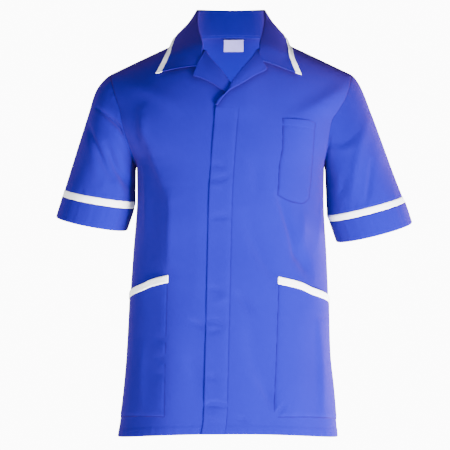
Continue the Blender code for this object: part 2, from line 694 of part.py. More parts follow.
def chest_pocket():
    share, depth = np.linspace(0, 1, 6)[None, :], np.linspace(0, 1, 8)[:, None]
    top, bottom = CHEST_TOP("height", share), CHEST_BOTTOM("height", share)
    z = top + (bottom - top) * depth
    start, end = find(FRONT, CHEST_LEFT("x", z), z)[0], find(FRONT, CHEST_RIGHT("x", z), z)[0]
    x = body(FRONT, start + (end - start) * share, find(FRONT, CHEST_LEFT("x", z), z)[1])[..., 0]
    lift = patch_lift(share, depth, POCKET_BAG / 2)
    return surface_wall("chest_pocket", *front_at(LEFT, x, z, lift))


def hip_pocket(side):
    """A hip pocket and the white tape along its top."""
    share = np.linspace(0, 1, 9)[None, :]
    top = POCKET_TOP[side]("height", share)
    inner_top, inner_bottom = POCKET_INNER[side]
    bottom_in, bottom_side = POCKET_BOTTOM[side]
    bottom = bottom_in + (bottom_side - bottom_in) * share ** 2
    tape = top - POCKET_TAPE
    for name, cloth, high, low, rows in (
            ("pocket_", "blue_twill", tape - SEAM / 2, bottom, 8),
            ("pocket_trim_", "white_tape", top, tape + SEAM / 2, 2)):
        depth = np.linspace(0, 1, rows)[:, None]
        z = high + (low - high) * depth
        fall = (z - top) / (bottom - top)
        inner_x = side * (inner_top + (inner_bottom - inner_top) * fall)
        start = find(FRONT, inner_x, z)[0]
        across = start + (side * (1 - EDGE) - start) * share
        down = 1 + (UNDERARM - z) / (UNDERARM - hem_height(FRONT, np.abs(across)))
        points, normals = front_skin(side, across, down)
        points = points + normals * patch_lift(share, fall, POCKET_BAG)[..., None]
        surface_wall(name + SIDE_NAME[side], points, normals, cloth)


def neck_label():
    """A blank label on the inside of the back, below the neck seam."""
    low_x, high_x, high_z, low_z = LABEL
    x, z = np.linspace(low_x, high_x, 4)[None, :], np.linspace(high_z, low_z, 4)[:, None]
    place = find(BACK, x, z)
    normals = body_normal(BACK, *place)
    points = body(BACK, *place) - normals * (WALL + LABEL_GAP)
    return surface_wall("neck_label", points, normals, "label_white", thick=LABEL_THICK)


def build():
    for side in (LEFT, RIGHT):
        front(side)
        revers(side)
        sleeve(side)
        hip_pocket(side)
    back()
    fly_placket()
    collar()
    chest_pocket()
    neck_label()


for thing in list(bpy.data.objects):
    bpy.data.objects.remove(thing)
tunic = bpy.data.collections.new("work_tunic")
bpy.context.scene.collection.children.link(tunic)
build()
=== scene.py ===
"""Looks of the short-sleeved work tunic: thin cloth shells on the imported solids.

Metres, +Z up. The front faces -Y and +X is the wearer's left. The sizes and the forms of the
cloth are those of the part's source, on finer grids and with creases, folds and sewing added.
"""
import math

import bpy
import numpy as np
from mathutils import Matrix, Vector

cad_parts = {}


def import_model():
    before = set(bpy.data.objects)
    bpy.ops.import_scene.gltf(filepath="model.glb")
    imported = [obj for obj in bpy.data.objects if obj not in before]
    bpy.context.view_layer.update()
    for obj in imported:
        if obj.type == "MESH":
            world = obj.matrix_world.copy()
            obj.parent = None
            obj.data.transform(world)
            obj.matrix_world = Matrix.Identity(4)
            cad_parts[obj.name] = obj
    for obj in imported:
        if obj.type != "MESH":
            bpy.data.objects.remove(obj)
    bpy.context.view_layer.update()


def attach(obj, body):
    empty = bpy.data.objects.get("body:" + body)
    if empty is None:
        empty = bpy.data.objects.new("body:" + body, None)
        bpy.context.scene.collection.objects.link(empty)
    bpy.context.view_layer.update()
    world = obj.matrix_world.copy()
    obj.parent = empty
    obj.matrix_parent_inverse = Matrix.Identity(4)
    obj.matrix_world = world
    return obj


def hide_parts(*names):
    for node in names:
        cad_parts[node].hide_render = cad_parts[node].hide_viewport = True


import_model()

# Cloth and sewing
WALL = 0.0014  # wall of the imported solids
CLOTH = 0.0009  # wall of the shells made here
LAYER_GAP = 0.0009
CELL = 0.0036  # size of a shell's faces
STITCH = 0.0026  # from one stitch to the next
THREAD = 0.00030  # radius of a stitch
PAINTED_SHADE_REACH = 0.0017  # how far the shade painted beside a seam or an edge reaches over the cloth
FOLDED = 0.0010  # radius of a folded edge
# Least distances from a seam that keep the painted shade soft: on free edges, below the revers
# and the collar, below the back neck, and at the ends of a sleeve's parts
FREE_SHADE, TURNED_SHADE, NECK_SHADE, SLEEVE_SHADE = 0.0011, 0.0008, 0.0007, 0.0004
RIM_SHARE = 0.28  # width of a shell's rounded rims, as a share of its wall
RIM_ANGLE = math.radians(60)  # sharpest angle that is left as it is

# Main sizes of the body
FRONT, BACK = -1, 1
LEFT, RIGHT = 1, -1  # the wearer's left and right
SIDE_NAME = {LEFT: "left", RIGHT: "right"}
NECK = 0.078
SHOULDER_SLOPE = 0.48
SHOULDER_ROUND = 0.030
UNDERARM = -0.241
CENTRE_SHIFT = -0.001
SECTION_POWER = 2.3
DEPTH = {FRONT: 0.140, BACK: 0.125}
FALL_POWER = {FRONT: 2.0, BACK: 3.4}
ARMHOLE_SHARE = 0.52
ARMHOLE_ROUND = 0.45
UNDERARM_SOFT = 0.06  # share of a panel over which its turn at the underarm is softened
SKIRT_SIDE, UNDERARM_SIDE = 12, 8  # powers with which folds and softening end at the side seams
HEM_SIDE = -0.754
HEM_LIFT = {FRONT: 0.015, BACK: -0.004}

# Closure
OVERLAP = 0.054
PLACKET_WIDTH = 0.0435
PLACKET_TOP = -0.1400
BREAK = -0.138  # height where the revers begin to turn back
LAP = CLOTH + 0.0002  # outer face of the left front above the right
PLACKET_CLOTH = 0.0010  # wall of the placket's shell
PLACKET_LIFT = PLACKET_CLOTH + 0.0002
LAP_FADE = (0.085, 0.024)  # x from which, and to which, the left front rises onto the right
LAP_OVER_REVERS = 0.0030
REVERS_FADE_X, REVERS_FADE_Z = (0.078, 0.020), (-0.170, -0.132)
ROLL_END = -0.027  # height where the roll line meets the collar's end

# Trims
COLLAR_TAPE = 0.0103
POCKET_TAPE = 0.0118
BAND_TOP, BAND_BOTTOM = 0.816, 0.859

# How finely forms are followed and places are found
QUARTER_STEPS, EDGE_LEVELS, EDGE_PLACES, NECK_COLUMNS = 3000, 161, 40, 47
HALVINGS, FINE_HALVINGS, EDGE_ROUNDS, NORMAL_STEP = 30, 40, 6, 1e-3


class Table:
    """Sizes in rows under named columns, read between the rows along a smooth curve."""

    def __init__(self, columns, *rows):
        self.columns = columns.split()
        self.rows = np.array(sorted(rows), float)

    def __call__(self, column, at):
        keys, values = self.rows[:, 0], self.rows[:, self.columns.index(column)]
        step = np.diff(keys)
        slope = np.diff(values) / step
        same = slope[:-1] * slope[1:] > 0
        total = np.where(same, slope[:-1] + slope[1:], 1)
        bend = np.where(same, 2 * slope[:-1] * slope[1:] / total, 0)
        bend = np.concatenate(([slope[0]], bend, [slope[-1]]))
        at = np.clip(at, keys[0], keys[-1])
        row = np.clip(np.searchsorted(keys, at, side="right") - 1, 0, len(step) - 1)
        t, gap = (at - keys[row]) / step[row], step[row]
        return (values[row] * (1 + 2 * t) * (1 - t) ** 2 + gap * bend[row] * t * (1 - t) ** 2
                + values[row + 1] * t * t * (3 - 2 * t) + gap * bend[row + 1] * t * t * (t - 1))


class QuarterRound:
    """A quarter of a rounded rectangle, walked at an even pace from its top to its side."""

    def __init__(self, width, height, power):
        angle = np.linspace(0, math.pi / 2, QUARTER_STEPS)
        self.out = np.sin(angle) ** (2 / power)
        self.up = np.clip(np.cos(angle), 0, 1) ** (2 / power)
        steps = np.hypot(np.diff(self.out) * width, np.diff(self.up) * height)
        self.length = steps.sum()
        self.pace = np.concatenate(([0], np.cumsum(steps))) / self.length

    def out_at(self, pace):
        return np.interp(pace, self.pace, self.out)

    def up_at(self, pace):
        return np.interp(pace, self.pace, self.up)

    def pace_of_out(self, out):
        return np.interp(out, self.out, self.pace)

    def pace_of_up(self, up):
        return np.interp(1 - up, 1 - self.up, self.pace)


BODY = Table("height half_width centre front back",
             (-0.754, 0.206, -0.0063, 0.135, 0.130),
             (-0.728, 0.203, -0.0055, 0.134, 0.129),
             (-0.661, 0.196, -0.0040, 0.132, 0.124),
             (-0.597, 0.190, -0.0046, 0.130, 0.118),
             (-0.496, 0.187, -0.0035, 0.129, 0.112),
             (-0.418, 0.183, -0.0024, 0.130, 0.110),
             (-0.298, 0.176, -0.0012, 0.137, 0.119),
             (UNDERARM, 0.177, CENTRE_SHIFT, DEPTH[FRONT], DEPTH[BACK]))
ARMHOLE = Table("drop left right",
                (0.00, 0.229, 0.229), (0.28, 0.215, 0.2165), (0.45, 0.2005, 0.207),
                (0.58, 0.188, 0.203), (0.78, 0.182, 0.192), (1.00, 0.177, 0.177))
ROLL_LINE = Table("height x",
                  (0.000, 0.078), (-0.027, 0.0515), (-0.0937, -0.0027), (-0.110, -0.0118),
                  (-0.125, -0.0217), (BREAK, -0.0280))
FRONT_EDGE = Table("height x",
                   (BREAK, -0.0280), (-0.188, -0.0325), (-0.250, -0.0372), (-0.310, -0.0404),
                   (-0.420, -0.0430), (-0.630, -0.0480), (-0.710, -0.0502), (-0.755, -0.0575))

# Soft upright folds of the skirt: where they lie, how wide they are and how far they stand out
SKIRT_FOLDS = {
    FRONT: Table("across width start depth",
                 (-0.86, 0.15, 1.45, 0.0035), (-0.45, 0.14, 1.55, 0.0025),
                 (0.22, 0.14, 1.60, -0.0020), (0.56, 0.12, 1.50, -0.0025),
                 (0.84, 0.15, 1.30, 0.0040)),
    BACK: Table("across width start depth",
                (-0.70, 0.13, 1.35, 0.0060), (-0.26, 0.14, 1.50, 0.0045),
                (0.20, 0.15, 1.40, 0.0050), (0.64, 0.12, 1.45, 0.0060)),
}

SECTION = QuarterRound(BODY("half_width", UNDERARM), DEPTH[FRONT], SECTION_POWER)
FALL = {face: QuarterRound(DEPTH[face], -UNDERARM, FALL_POWER[face]) for face in (FRONT, BACK)}


def smooth(low, high, at):
    t = np.clip((at - low) / (high - low), 0, 1)
    return t * t * (3 - 2 * t)


def unit(vectors):
    return vectors / np.maximum(np.linalg.norm(vectors, axis=-1, keepdims=True), 1e-12)


def mix(first, second, share):
    return first + (second - first) * share


def pair(first, second):
    """Two grids as one grid of pairs, also where one of them is a single row or column."""
    return np.stack(np.broadcast_arrays(first, second), -1)


def grids(*values):
    """Numbers or arrays as arrays of one shape."""
    return np.broadcast_arrays(*(np.asarray(value, float) for value in values))


def placed(name, data):
    """A new object in the scene."""
    made = bpy.data.objects.new(name, data)
    bpy.context.scene.collection.objects.link(made)
    return made


def ridge(distance, place, width):
    """1 at a place, and near 0 beyond twice the width from it."""
    return np.exp(-((distance - place) / width) ** 2)


def shoulder(x):
    """Height of the shoulder line at x."""
    return -SHOULDER_SLOPE * (np.hypot(x, SHOULDER_ROUND) - math.hypot(NECK, SHOULDER_ROUND))


def hem_height(face, pace):
    return HEM_SIDE + HEM_LIFT[face] * SECTION.up_at(pace) ** 2


def from_side(across):
    """Distance of a place on a panel from its side seam."""
    return (1 - np.abs(across)) * SECTION.length


def width_at(side, drop):
    return np.where(side < 0, ARMHOLE("right", drop), ARMHOLE("left", drop))


def skirt_fold(face, across, down):
    """How far the soft folds move the skirt outwards."""
    move = np.zeros_like(down)
    for place, width, start, depth in SKIRT_FOLDS[face].rows:
        move = move + depth * np.exp(-((across - place) / width) ** 2) * smooth(start, 2, down)
    return move * (1 - np.abs(across) ** SKIRT_SIDE)


def body(face, across, down):
    """Outer form of the body. across runs from -1 to 1, side to side. down is 0 at the shoulder
    line, 1 at the underarm and 2 at the hem."""
    across, down = grids(across, down)
    side, pace, level = np.where(across < 0, -1, 1), np.abs(across), np.clip(down, 0, 1)
    share = pace + (SECTION.out_at(pace) - pace) * level ** 2

    rise, reach = FALL[face].up_at(level), FALL[face].out_at(level)
    drop = 1 - rise
    bend = np.clip((drop - ARMHOLE_ROUND) / (1 - ARMHOLE_ROUND), 0, 1)
    edge = ARMHOLE_SHARE * np.sqrt(1 - bend ** 2)
    fit = (1 - edge ** SECTION_POWER) ** (1 / SECTION_POWER)
    bulge = np.clip(1 - (fit * share) ** SECTION_POWER, 0, 1) ** (1 / SECTION_POWER)
    high_x = CENTRE_SHIFT * drop + side * width_at(side, drop) * share
    high = np.stack((high_x, face * DEPTH[face] * reach * bulge,
                     shoulder(high_x) * rise + UNDERARM * drop), -1)

    height = UNDERARM + (hem_height(face, pace) - UNDERARM) * np.clip(down - 1, 0, 1)
    middle = BODY("centre", height)
    half = BODY("half_width", height)
    deep = BODY("front" if face == FRONT else "back", height)
    low = np.stack((middle + side * half * SECTION.out_at(pace),
                    face * deep * SECTION.up_at(pace), height), -1)
    outwards = unit(np.stack((low[..., 0] - middle, low[..., 1], 0 * height), -1))
    low = low + outwards * skirt_fold(face, across, down)[..., None]
    return np.where((down <= 1)[..., None], high, low)


def body_normal(face, across, down, step=NORMAL_STEP):
    across, down = grids(across, down)
    sideways = (body(face, np.clip(across + step, -1, 1), down)
                - body(face, np.clip(across - step, -1, 1), down))
    downward = (body(face, across, np.clip(down + step, 0, 2))
                - body(face, across, np.clip(down - step, 0, 2)))
    return unit(face * np.cross(sideways, downward))


def find(face, x, z):
    """across and down of the point of the body at x and height z."""
    x, z = grids(x, z)
    rise = np.clip((z - UNDERARM) / (shoulder(x) - UNDERARM), 0, 1)
    level, drop = FALL[face].pace_of_up(rise), 1 - rise
    offset = x - CENTRE_SHIFT * drop
    share = np.clip(np.abs(offset) / width_at(np.sign(offset), drop), 0, 1)
    low, high = np.zeros_like(share), np.ones_like(share)
    for _ in range(HALVINGS):
        pace = (low + high) / 2
        short = pace + (SECTION.out_at(pace) - pace) * level ** 2 < share
        low, high = np.where(short, pace, low), np.where(short, high, pace)

    lower = np.clip(np.abs(x - BODY("centre", z)) / BODY("half_width", z), 0, 1)
    lower_pace = SECTION.pace_of_out(lower)
    below = (UNDERARM - z) / (UNDERARM - hem_height(face, lower_pace))
    under = z < UNDERARM
    across = np.where(under, np.sign(x - BODY("centre", z)) * lower_pace, np.sign(offset) * high)
    return across, np.where(under, 1 + np.clip(below, 0, 1), level)


def lap(x, z):
    """How far the left front stands out, where it lies over the right front and its revers."""
    return (LAP * smooth(*LAP_FADE, x)
            + LAP_OVER_REVERS * smooth(*REVERS_FADE_X, x) * smooth(*REVERS_FADE_Z, z))


# Creases pressed and worn into the cloth

MM = 0.001
FADE_START, FADE_RUN, FADE_POWER = 0.08, 0.84, 0.8  # how a crease fades towards its two ends


def creases(*rows):
    """Creases in millimetres. Each runs from one x and z of the front view to another, or of the
    back view on the back, bowed sideways by the next number. Then come its width on its left, its
    width on its right as a share of that, and how far it stands out."""
    return np.array(rows) * (MM, MM, MM, MM, MM, MM, 1, MM)


CREASES = {
    FRONT: creases(
        # From the armpits down to the hip pockets
        (-166, -150, -109, -303, 0, 16, 2.4, 6.2),
        (-158, -175, -110, -310, 0, 8, 1.5, 1.4),
        (-111, -285, -114, -447, 0, 26, 1.7, 7.4),
        (-110, -290, -113, -430, 0, 6, 1.6, 2.2),
        (-113, -430, -107, -745, 0, 28, 1.6, 7),
        (-162, -255, -160, -375, 2, 10, 1.4, 2.6),
        (172, -290, 160, -400, -4, 10, 1.5, 2.2),
        (-165, -150, -160, -208, 0, 15, 1, 3.6),
        # Across the upper chest
        (-190, -92, -98, -140, 4, 14, 1.3, 3.2),
        (216, -100, 114, -160, 4, 18, 1.8, 6.8),
        # Below the chest pocket
        (86, -300, 119, -415, 3, 6, 1.5, -6),
        (113, -395, 142, -445, 0, 11, 1.3, -6.2),
        (133, -330, 128, -405, 1, 9, 1.4, 2.4),
        # Beside the placket
        (38, -230, 48, -295, 2, 10, 1.4, -2.6),
        (24, -340, 82, -455, -4, 12, 1.3, -4.8),
        (8, -480, 36, -515, 1, 6, 1.3, -3.4),
        (30, -530, 73, -680, -6, 14, 1.4, -3.4),
        (52, -640, 75, -685, 1, 7, 1.3, -3.2),
        (-74, -530, -50, -547, 1, 5, 1.2, -2.6),
        (-78, -590, -60, -655, 2, 12, 1.3, -2.6),
        (-60, -300, -64, -520, 3, 16, 1.4, 1.6),
        # Over the hem
        (14, -709, 28, -716, 1, 4, 1.2, -1.8)),
    BACK: creases(
        # From the armpits inwards and down
        (-168, -235, -98, -400, 10, 13, 1.8, 7.8),
        (-172, -320, -118, -520, 8, 15, 1.4, -6),
        (168, -250, 104, -425, -10, 14, 1.6, 7.2),
        (174, -345, 126, -515, -8, 15, 1.4, -5.6),
        # Beside the middle
        (-66, -300, -10, -480, 12, 18, 1.4, 5.8),
        (74, -340, 30, -500, -10, 16, 1.4, 4.8),
        (-12, -520, -40, -660, 6, 14, 1.5, -4.8),
        (90, -540, 112, -700, -5, 13, 1.5, -5),
        # Across the shoulder blades
        (-150, -120, -40, -150, -6, 13, 1.5, 4.2),
        (152, -128, 52, -152, 6, 12, 1.4, 3.8)),
}


def crease_lift(table, x, z):
    """Sum of a table's creases at x and z."""
    place = pair(x, z)
    move = np.zeros(place.shape[:-1])
    for from_x, from_z, to_x, to_z, bow, width, skew, depth in table:
        run = np.array((to_x - from_x, to_z - from_z))
        length = np.hypot(*run)
        run = run / length
        offset = place - (from_x, from_z)
        along = np.clip((offset @ run) / length, 0, 1)
        end = offset - along[..., None] * run * length
        beside = end @ (-run[1], run[0]) - bow * np.sin(math.pi * along)
        past = end @ run
        wide = width * np.where(beside > 0, skew, 1)
        fade = np.sin(math.pi * (FADE_START + FADE_RUN * along)) ** FADE_POWER
        move = move + depth * fade * np.exp(-(beside / wide) ** 2 - (past / width) ** 2)
    return move


def spread(face):
    """A face's creases, their ends moved from the view to the cloth laid out round the body."""
    rows = CREASES[face].copy()
    for column in (0, 2):
        rows[:, column] = find(face, rows[:, column], rows[:, column + 1])[0] * SECTION.length
    return rows


SPREAD_CREASES = {face: spread(face) for face in (FRONT, BACK)}


def body_skin(face, across, down):
    """Outer points and normals of a panel, its creases on it."""
    across, down = grids(across, down)
    reach = UNDERARM_SOFT * ridge(down, 1, 2 * UNDERARM_SOFT) * (1 - np.abs(across) ** UNDERARM_SIDE)
    points = (body(face, across, down - reach) + 2 * body(face, across, down)
              + body(face, across, down + reach)) / 4
    normals = body_normal(face, across, down, step=NORMAL_STEP + reach)
    lift = crease_lift(SPREAD_CREASES[face], across * SECTION.length, points[..., 2])
    return points + normals * lift[..., None], normals


def front_skin(side, across, down):
    """Outer points and normals of a front at across and down."""
    points, normals = body_skin(FRONT, across, down)
    if side == LEFT:
        points = points + normals * lap(points[..., 0], points[..., 2])[..., None]
    return points, normals


def front_at(side, x, z, lift=0.0):
    """Point and normal of a front at x and height z, moved out by lift."""
    points, normals = front_skin(side, *find(FRONT, x, z))
    return points + normals * np.asarray(lift)[..., None], normals


# Where a shell's rows and columns stand: close together near an edge or a row of stitches, and a
# cell apart elsewhere

EDGE_STEPS = (0.0, 0.0005, 0.0012, 0.0022, 0.0038)
SEAM_STEPS = (-0.0016, -0.0007, 0, 0.0007, 0.0016)
CLOSEST = 0.0004  # least distance of an even step from the others


def stations(length, near=EDGE_STEPS, far=EDGE_STEPS, seams=(), cell=CELL):
    """Shares of a length in metres, with the near and far edges and the seams closely set."""
    first, last = max(near, default=0.0), length - max(far, default=0.0)
    even = np.linspace(first, last, max(2, round((last - first) / cell) + 1))
    close = [seam + step for seam in seams for step in SEAM_STEPS]
    fixed = np.concatenate((near, length - np.array(far), close))
    even = even[np.min(np.abs(even[:, None] - fixed), axis=1) > CLOSEST]
    return np.sort(np.concatenate((fixed, even))) / length


# Reliefs are sums of terms in metres: the first number of a term is how far it moves the cloth, and
# the others are the lengths over which it does
THIN_FOLD = 0.0006  # radius of a flatter folded edge
WAVES = (1, 1, 0), (0.6, 1.73, 1.3), (0.5, 0.61, 4.1)  # height, pace and start of each wave
WAVES_HIGH = 2.1  # sum of their heights


def rounded(distance, radius=FOLDED):
    """How far a folded edge falls away at a distance from it."""
    return radius * (1 - np.sqrt(1 - (1 - np.clip(distance / radius, 0, 1)) ** 2))


def pucker(along, period, phase=0.0):
    """Uneven small waves, as beside a row of stitches."""
    turn = math.tau * along / period + phase
    return sum(height * np.sin(pace * turn + start) for height, pace, start in WAVES) / WAVES_HIGH


# Shells


def shell(name, points, normals, material, uv, thick=CLOTH, around=False, from_seam=1.0):
    """A thin cloth shell whose outer face goes through a grid of points. uv is in metres of
    cloth. around joins the last column to the first. Shade is painted into the cloth's colour next to
    its seams and edges, by from_seam."""
    rows, columns = points.shape[:2]
    turn = np.cross(np.gradient(points, axis=1), np.gradient(points, axis=0))
    spans = columns if around else columns - 1
    row, column = (grid.ravel() for grid in np.mgrid[0:rows - 1, 0:spans])
    corners = ((0, 0), (0, 1), (1, 1), (1, 0))
    if np.sum(turn * normals) >= 0:
        corners = corners[::-1]
    faces = np.stack([(row + up) * columns + (column + out) % columns for up, out in corners], -1)
    mesh = bpy.data.meshes.new(name)
    mesh.from_pydata(points.reshape(-1, 3).tolist(), [], faces.tolist())
    if around:
        uv = np.concatenate((uv, 2 * uv[:, -1:] - uv[:, -2:-1]), 1)
    loops = np.stack([uv[row + up, column + out] for up, out in corners], 1)
    layer = mesh.uv_layers.new(name="cloth")
    layer.uv.foreach_set("vector", loops.astype(np.float32).ravel())
    # Painted shade: how far the cloth's colour is darkened, most where from_seam is 0, kept in the
    # attribute named seam
    depth = np.broadcast_to(ridge(from_seam, 0, PAINTED_SHADE_REACH), (rows, columns)).astype(np.float32)
    mesh.attributes.new("seam", "FLOAT", "POINT").data.foreach_set("value", depth.ravel())
    mesh.shade_smooth()
    mesh.materials.append(material)
    piece = placed(name, mesh)
    wall = piece.modifiers.new("wall", "SOLIDIFY")
    wall.thickness, wall.offset, wall.use_even_offset = thick, -1, False
    edge = piece.modifiers.new("edge", "BEVEL")
    edge.width, edge.segments, edge.limit_method = thick * RIM_SHARE, 2, "ANGLE"
    edge.angle_limit = RIM_ANGLE
    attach(piece, "root")
    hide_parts(name)


# Rows of stitches: lines on the shells, with the direction out of the cloth at each of their points

SEWN = {"blue": [], "white": []}


def between(grid, row, column):
    """A grid's values at rows and columns that may lie between its own."""
    row, column = grids(row, column)
    up = np.clip(row.astype(int), 0, grid.shape[0] - 2)
    out = np.clip(column.astype(int), 0, grid.shape[1] - 2)
    down_share, out_share = (row - up)[..., None], (column - out)[..., None]
    return mix(mix(grid[up, out], grid[up + 1, out], down_share),
               mix(grid[up, out + 1], grid[up + 1, out + 1], down_share), out_share)


def sew(thread, points, normals, row=None, column=None):
    """A row of stitches along a row or a column of a shell's grid."""
    row = np.arange(points.shape[0]) if row is None else row
    column = np.arange(points.shape[1]) if column is None else column
    SEWN[thread].append((between(points, row, column), unit(between(normals, row, column))))


def index_at(stops, place):
    """Where a place lies among a grid's stops, counted in rows or columns."""
    stops = np.ravel(stops)
    return np.interp(place, stops, np.arange(len(stops)))


# Fronts and back

SHOULDER_TO_UNDERARM, UNDERARM_TO_HEM = 0.300, 0.513  # lengths of cloth down a panel
HEM_STITCH = 0.0160  # from the hem to its stitches
NECK_ROW = 3  # row of the back that the stitches of its neck follow
NECK_LOWEST = 0.75  # down of a place that is below the neck edge in every column
SHOULDER_SEAM = 0.165  # length of a shoulder seam
TURNED_SPREAD, NECK_SPREAD = 0.16, 0.034  # the soft painted shade grows this slowly with distance


def edge_x(side, z):
    """x of a front's free edge at height z, positive towards its own side."""
    return FRONT_EDGE("x", z) if side == LEFT else -(FRONT_EDGE("x", z) + OVERLAP)


def free_edge(side, down):
    """across of a front's free edge, which above the break runs on straight up."""
    start = find(FRONT, FRONT_EDGE("x", BREAK), BREAK)[1]
    across = 0 * down
    for _ in range(EDGE_ROUNDS):
        z = body(FRONT, across, np.maximum(down, start))[..., 2]
        across = find(FRONT, side * edge_x(side, z), z)[0]
    return across


def panel_rows(top):
    """down of the rows of a panel's columns, from their tops to the hem."""
    upper = stations(SHOULDER_TO_UNDERARM, far=())
    lower = stations(UNDERARM_TO_HEM, near=(), seams=(UNDERARM_TO_HEM - HEM_STITCH,))
    top = np.asarray(top, float)[None, :]
    return np.concatenate((top + (1 - top) * upper[:, None], 1 + lower[1:, None] + 0 * top))


def hemmed(points, normals, across, down):
    """A panel with its side seams sunk and its turned hem shaped and sewn, and its cloth
    coordinates."""
    cloth = pair(across * SECTION.length, points[..., 2])
    from_hem = (2 - down) * UNDERARM_TO_HEM
    lift = (0.0004 * smooth(HEM_STITCH + 0.0022, HEM_STITCH - 0.0004, from_hem)
            - 0.0003 * ridge(from_hem, HEM_STITCH, 0.0012)
            + 0.00045 * pucker(cloth[..., 0], 0.0145) * smooth(0.024, 0.006, from_hem)
            - rounded(from_hem) - 0.0008 * ridge(from_side(across), 0, 0.0012))
    points = points + normals * lift[..., None]
    sew("blue", points, normals, row=index_at(down[:, 0], 2 - HEM_STITCH / UNDERARM_TO_HEM))
    return points, cloth


# Ends of the front edge of each half of the collar, as (x, z)
LEAF_EDGE = {LEFT: ((0.0537, -0.0524), (0.1194, -0.0745)),
             RIGHT: ((0.0612, -0.0604), (0.1308, -0.0715))}


def from_turned_edges(side, points):
    """Distance from the edges of the revers and the collar that lie on a front."""
    share = np.linspace(0, 1, EDGE_PLACES)
    start, end = np.array(LEAF_EDGE[side])
    line = np.concatenate((pair(REVERS[side]("edge_x", share), REVERS[side]("edge_z", share)),
                           mix(start, end, share[:, None])))
    flat = pair(side * points[..., 0], points[..., 2])
    return np.min([np.hypot(*np.moveaxis(flat - place, -1, 0)) for place in line], axis=0)


def front(side):
    """A front from its free edge to its side seam, its neck edge cut along the roll line."""
    share = stations(SECTION.length + OVERLAP / 2)
    low, high = np.zeros_like(share), np.full_like(share, NECK_LOWEST)
    levels = np.linspace(0, 2, EDGE_LEVELS)
    edges = free_edge(side, levels)

    def place(column, level):
        free = np.interp(level, levels, edges)
        return free + (side - free) * column

    for _ in range(FINE_HALVINGS):
        middle = (low + high) / 2
        points = body(FRONT, place(share, middle), middle)
        inside = side * points[..., 0] >= roll_x(points[..., 2])
        low, high = np.where(inside, low, middle), np.where(inside, middle, high)
    down = panel_rows(high)
    across = place(share[None, :], down)
    points, normals = front_skin(side, across, down)
    points, cloth = hemmed(points, normals, across, down)
    # Painted shade beside the side seam, and painted shadow below the edges of the revers and the
    # collar that lie on the front
    shade = np.minimum(from_side(across),
                       TURNED_SHADE + TURNED_SPREAD * from_turned_edges(side, points))
    shell("front_" + SIDE_NAME[side], points, normals, twill, cloth, from_seam=shade)


def back_neck(side, angle):
    """across and down on the back's round neck, angle degrees from its middle."""
    x, y = side * NECK * math.sin(math.radians(angle)), NECK * math.cos(math.radians(angle))
    low, high = UNDERARM, float(shoulder(x))
    for _ in range(FINE_HALVINGS):
        z = (low + high) / 2
        low, high = (z, high) if body(BACK, *find(BACK, x, z))[1] > y else (low, z)
    return find(BACK, x, low)


def back():
    """The back, its top edge the round back neck and the two shoulder seams."""
    angles = np.linspace(-90, 90, NECK_COLUMNS)
    neck = np.array([back_neck(RIGHT if angle < 0 else LEFT, abs(angle)) for angle in angles])
    seam = stations(SHOULDER_SEAM, near=())[1:]
    outward = neck[-1, 0] + (1 - neck[-1, 0]) * seam
    inward = neck[0, 0] + (-1 - neck[0, 0]) * seam
    across = np.concatenate((inward[::-1], neck[:, 0], outward))
    top = np.concatenate((0 * inward, neck[:, 1], 0 * outward))
    down = panel_rows(top)
    across = np.broadcast_to(across, down.shape)
    points, normals = body_skin(BACK, across, down)
    points, cloth = hemmed(points, normals, across, down)
    inside = np.arange(len(inward), len(inward) + len(angles))
    sew("blue", points - normals * CLOTH, -normals, row=NECK_ROW, column=inside)
    # Painted shade beside the side seams, and below the back neck where the collar is sewn on
    from_neck = (neck[:, 1].max() + down - 2 * top) * SHOULDER_TO_UNDERARM
    shade = np.minimum(from_side(across), NECK_SHADE + NECK_SPREAD * from_neck)
    shell("back", points, normals, twill, cloth, from_seam=shade)


# Placket

PLACKET_STITCH = 0.0022  # from the placket's inner edge to its stitches
# The last row of stitches: its height, how far it curves up, and the shares between which it does
PLACKET_END, PLACKET_CURVE, PLACKET_TURN = -0.688, 0.006, (0.9, 0.5)

# Small creases across the placket, measured from its folded edge
PLACKET_CREASES = creases(
    (0, -146, 36, -150, 1, 3.5, 1.3, -1.2),
    (0, -243, 25, -247, 2, 4.5, 1.4, -1.8),
    (4, -272, 36, -265, -2, 4, 1.5, -2.1),
    (0, -280, 20, -286, 1, 5, 1.2, 1.2),
    (6, -342, 40, -340, 1.5, 4.5, 1.4, -1.8),
    (0, -471, 28, -479, 2, 4.5, 1.3, -1.8),
    (10, -496, 40, -488, -2, 6, 1.5, 1.2),
    (0, -531, 34, -540, 3, 4.5, 1.4, -2.3),
    (0, -550, 26, -547, -2, 4.5, 1.2, -1.5),
    (0, -633, 24, -640, 2, 6, 1.3, -1.4),
    (2, -686.5, 40, -688, 3, 4, 1.2, -3.6),
    (6, -702, 30, -712, 3, 6, 1.4, 1.2))


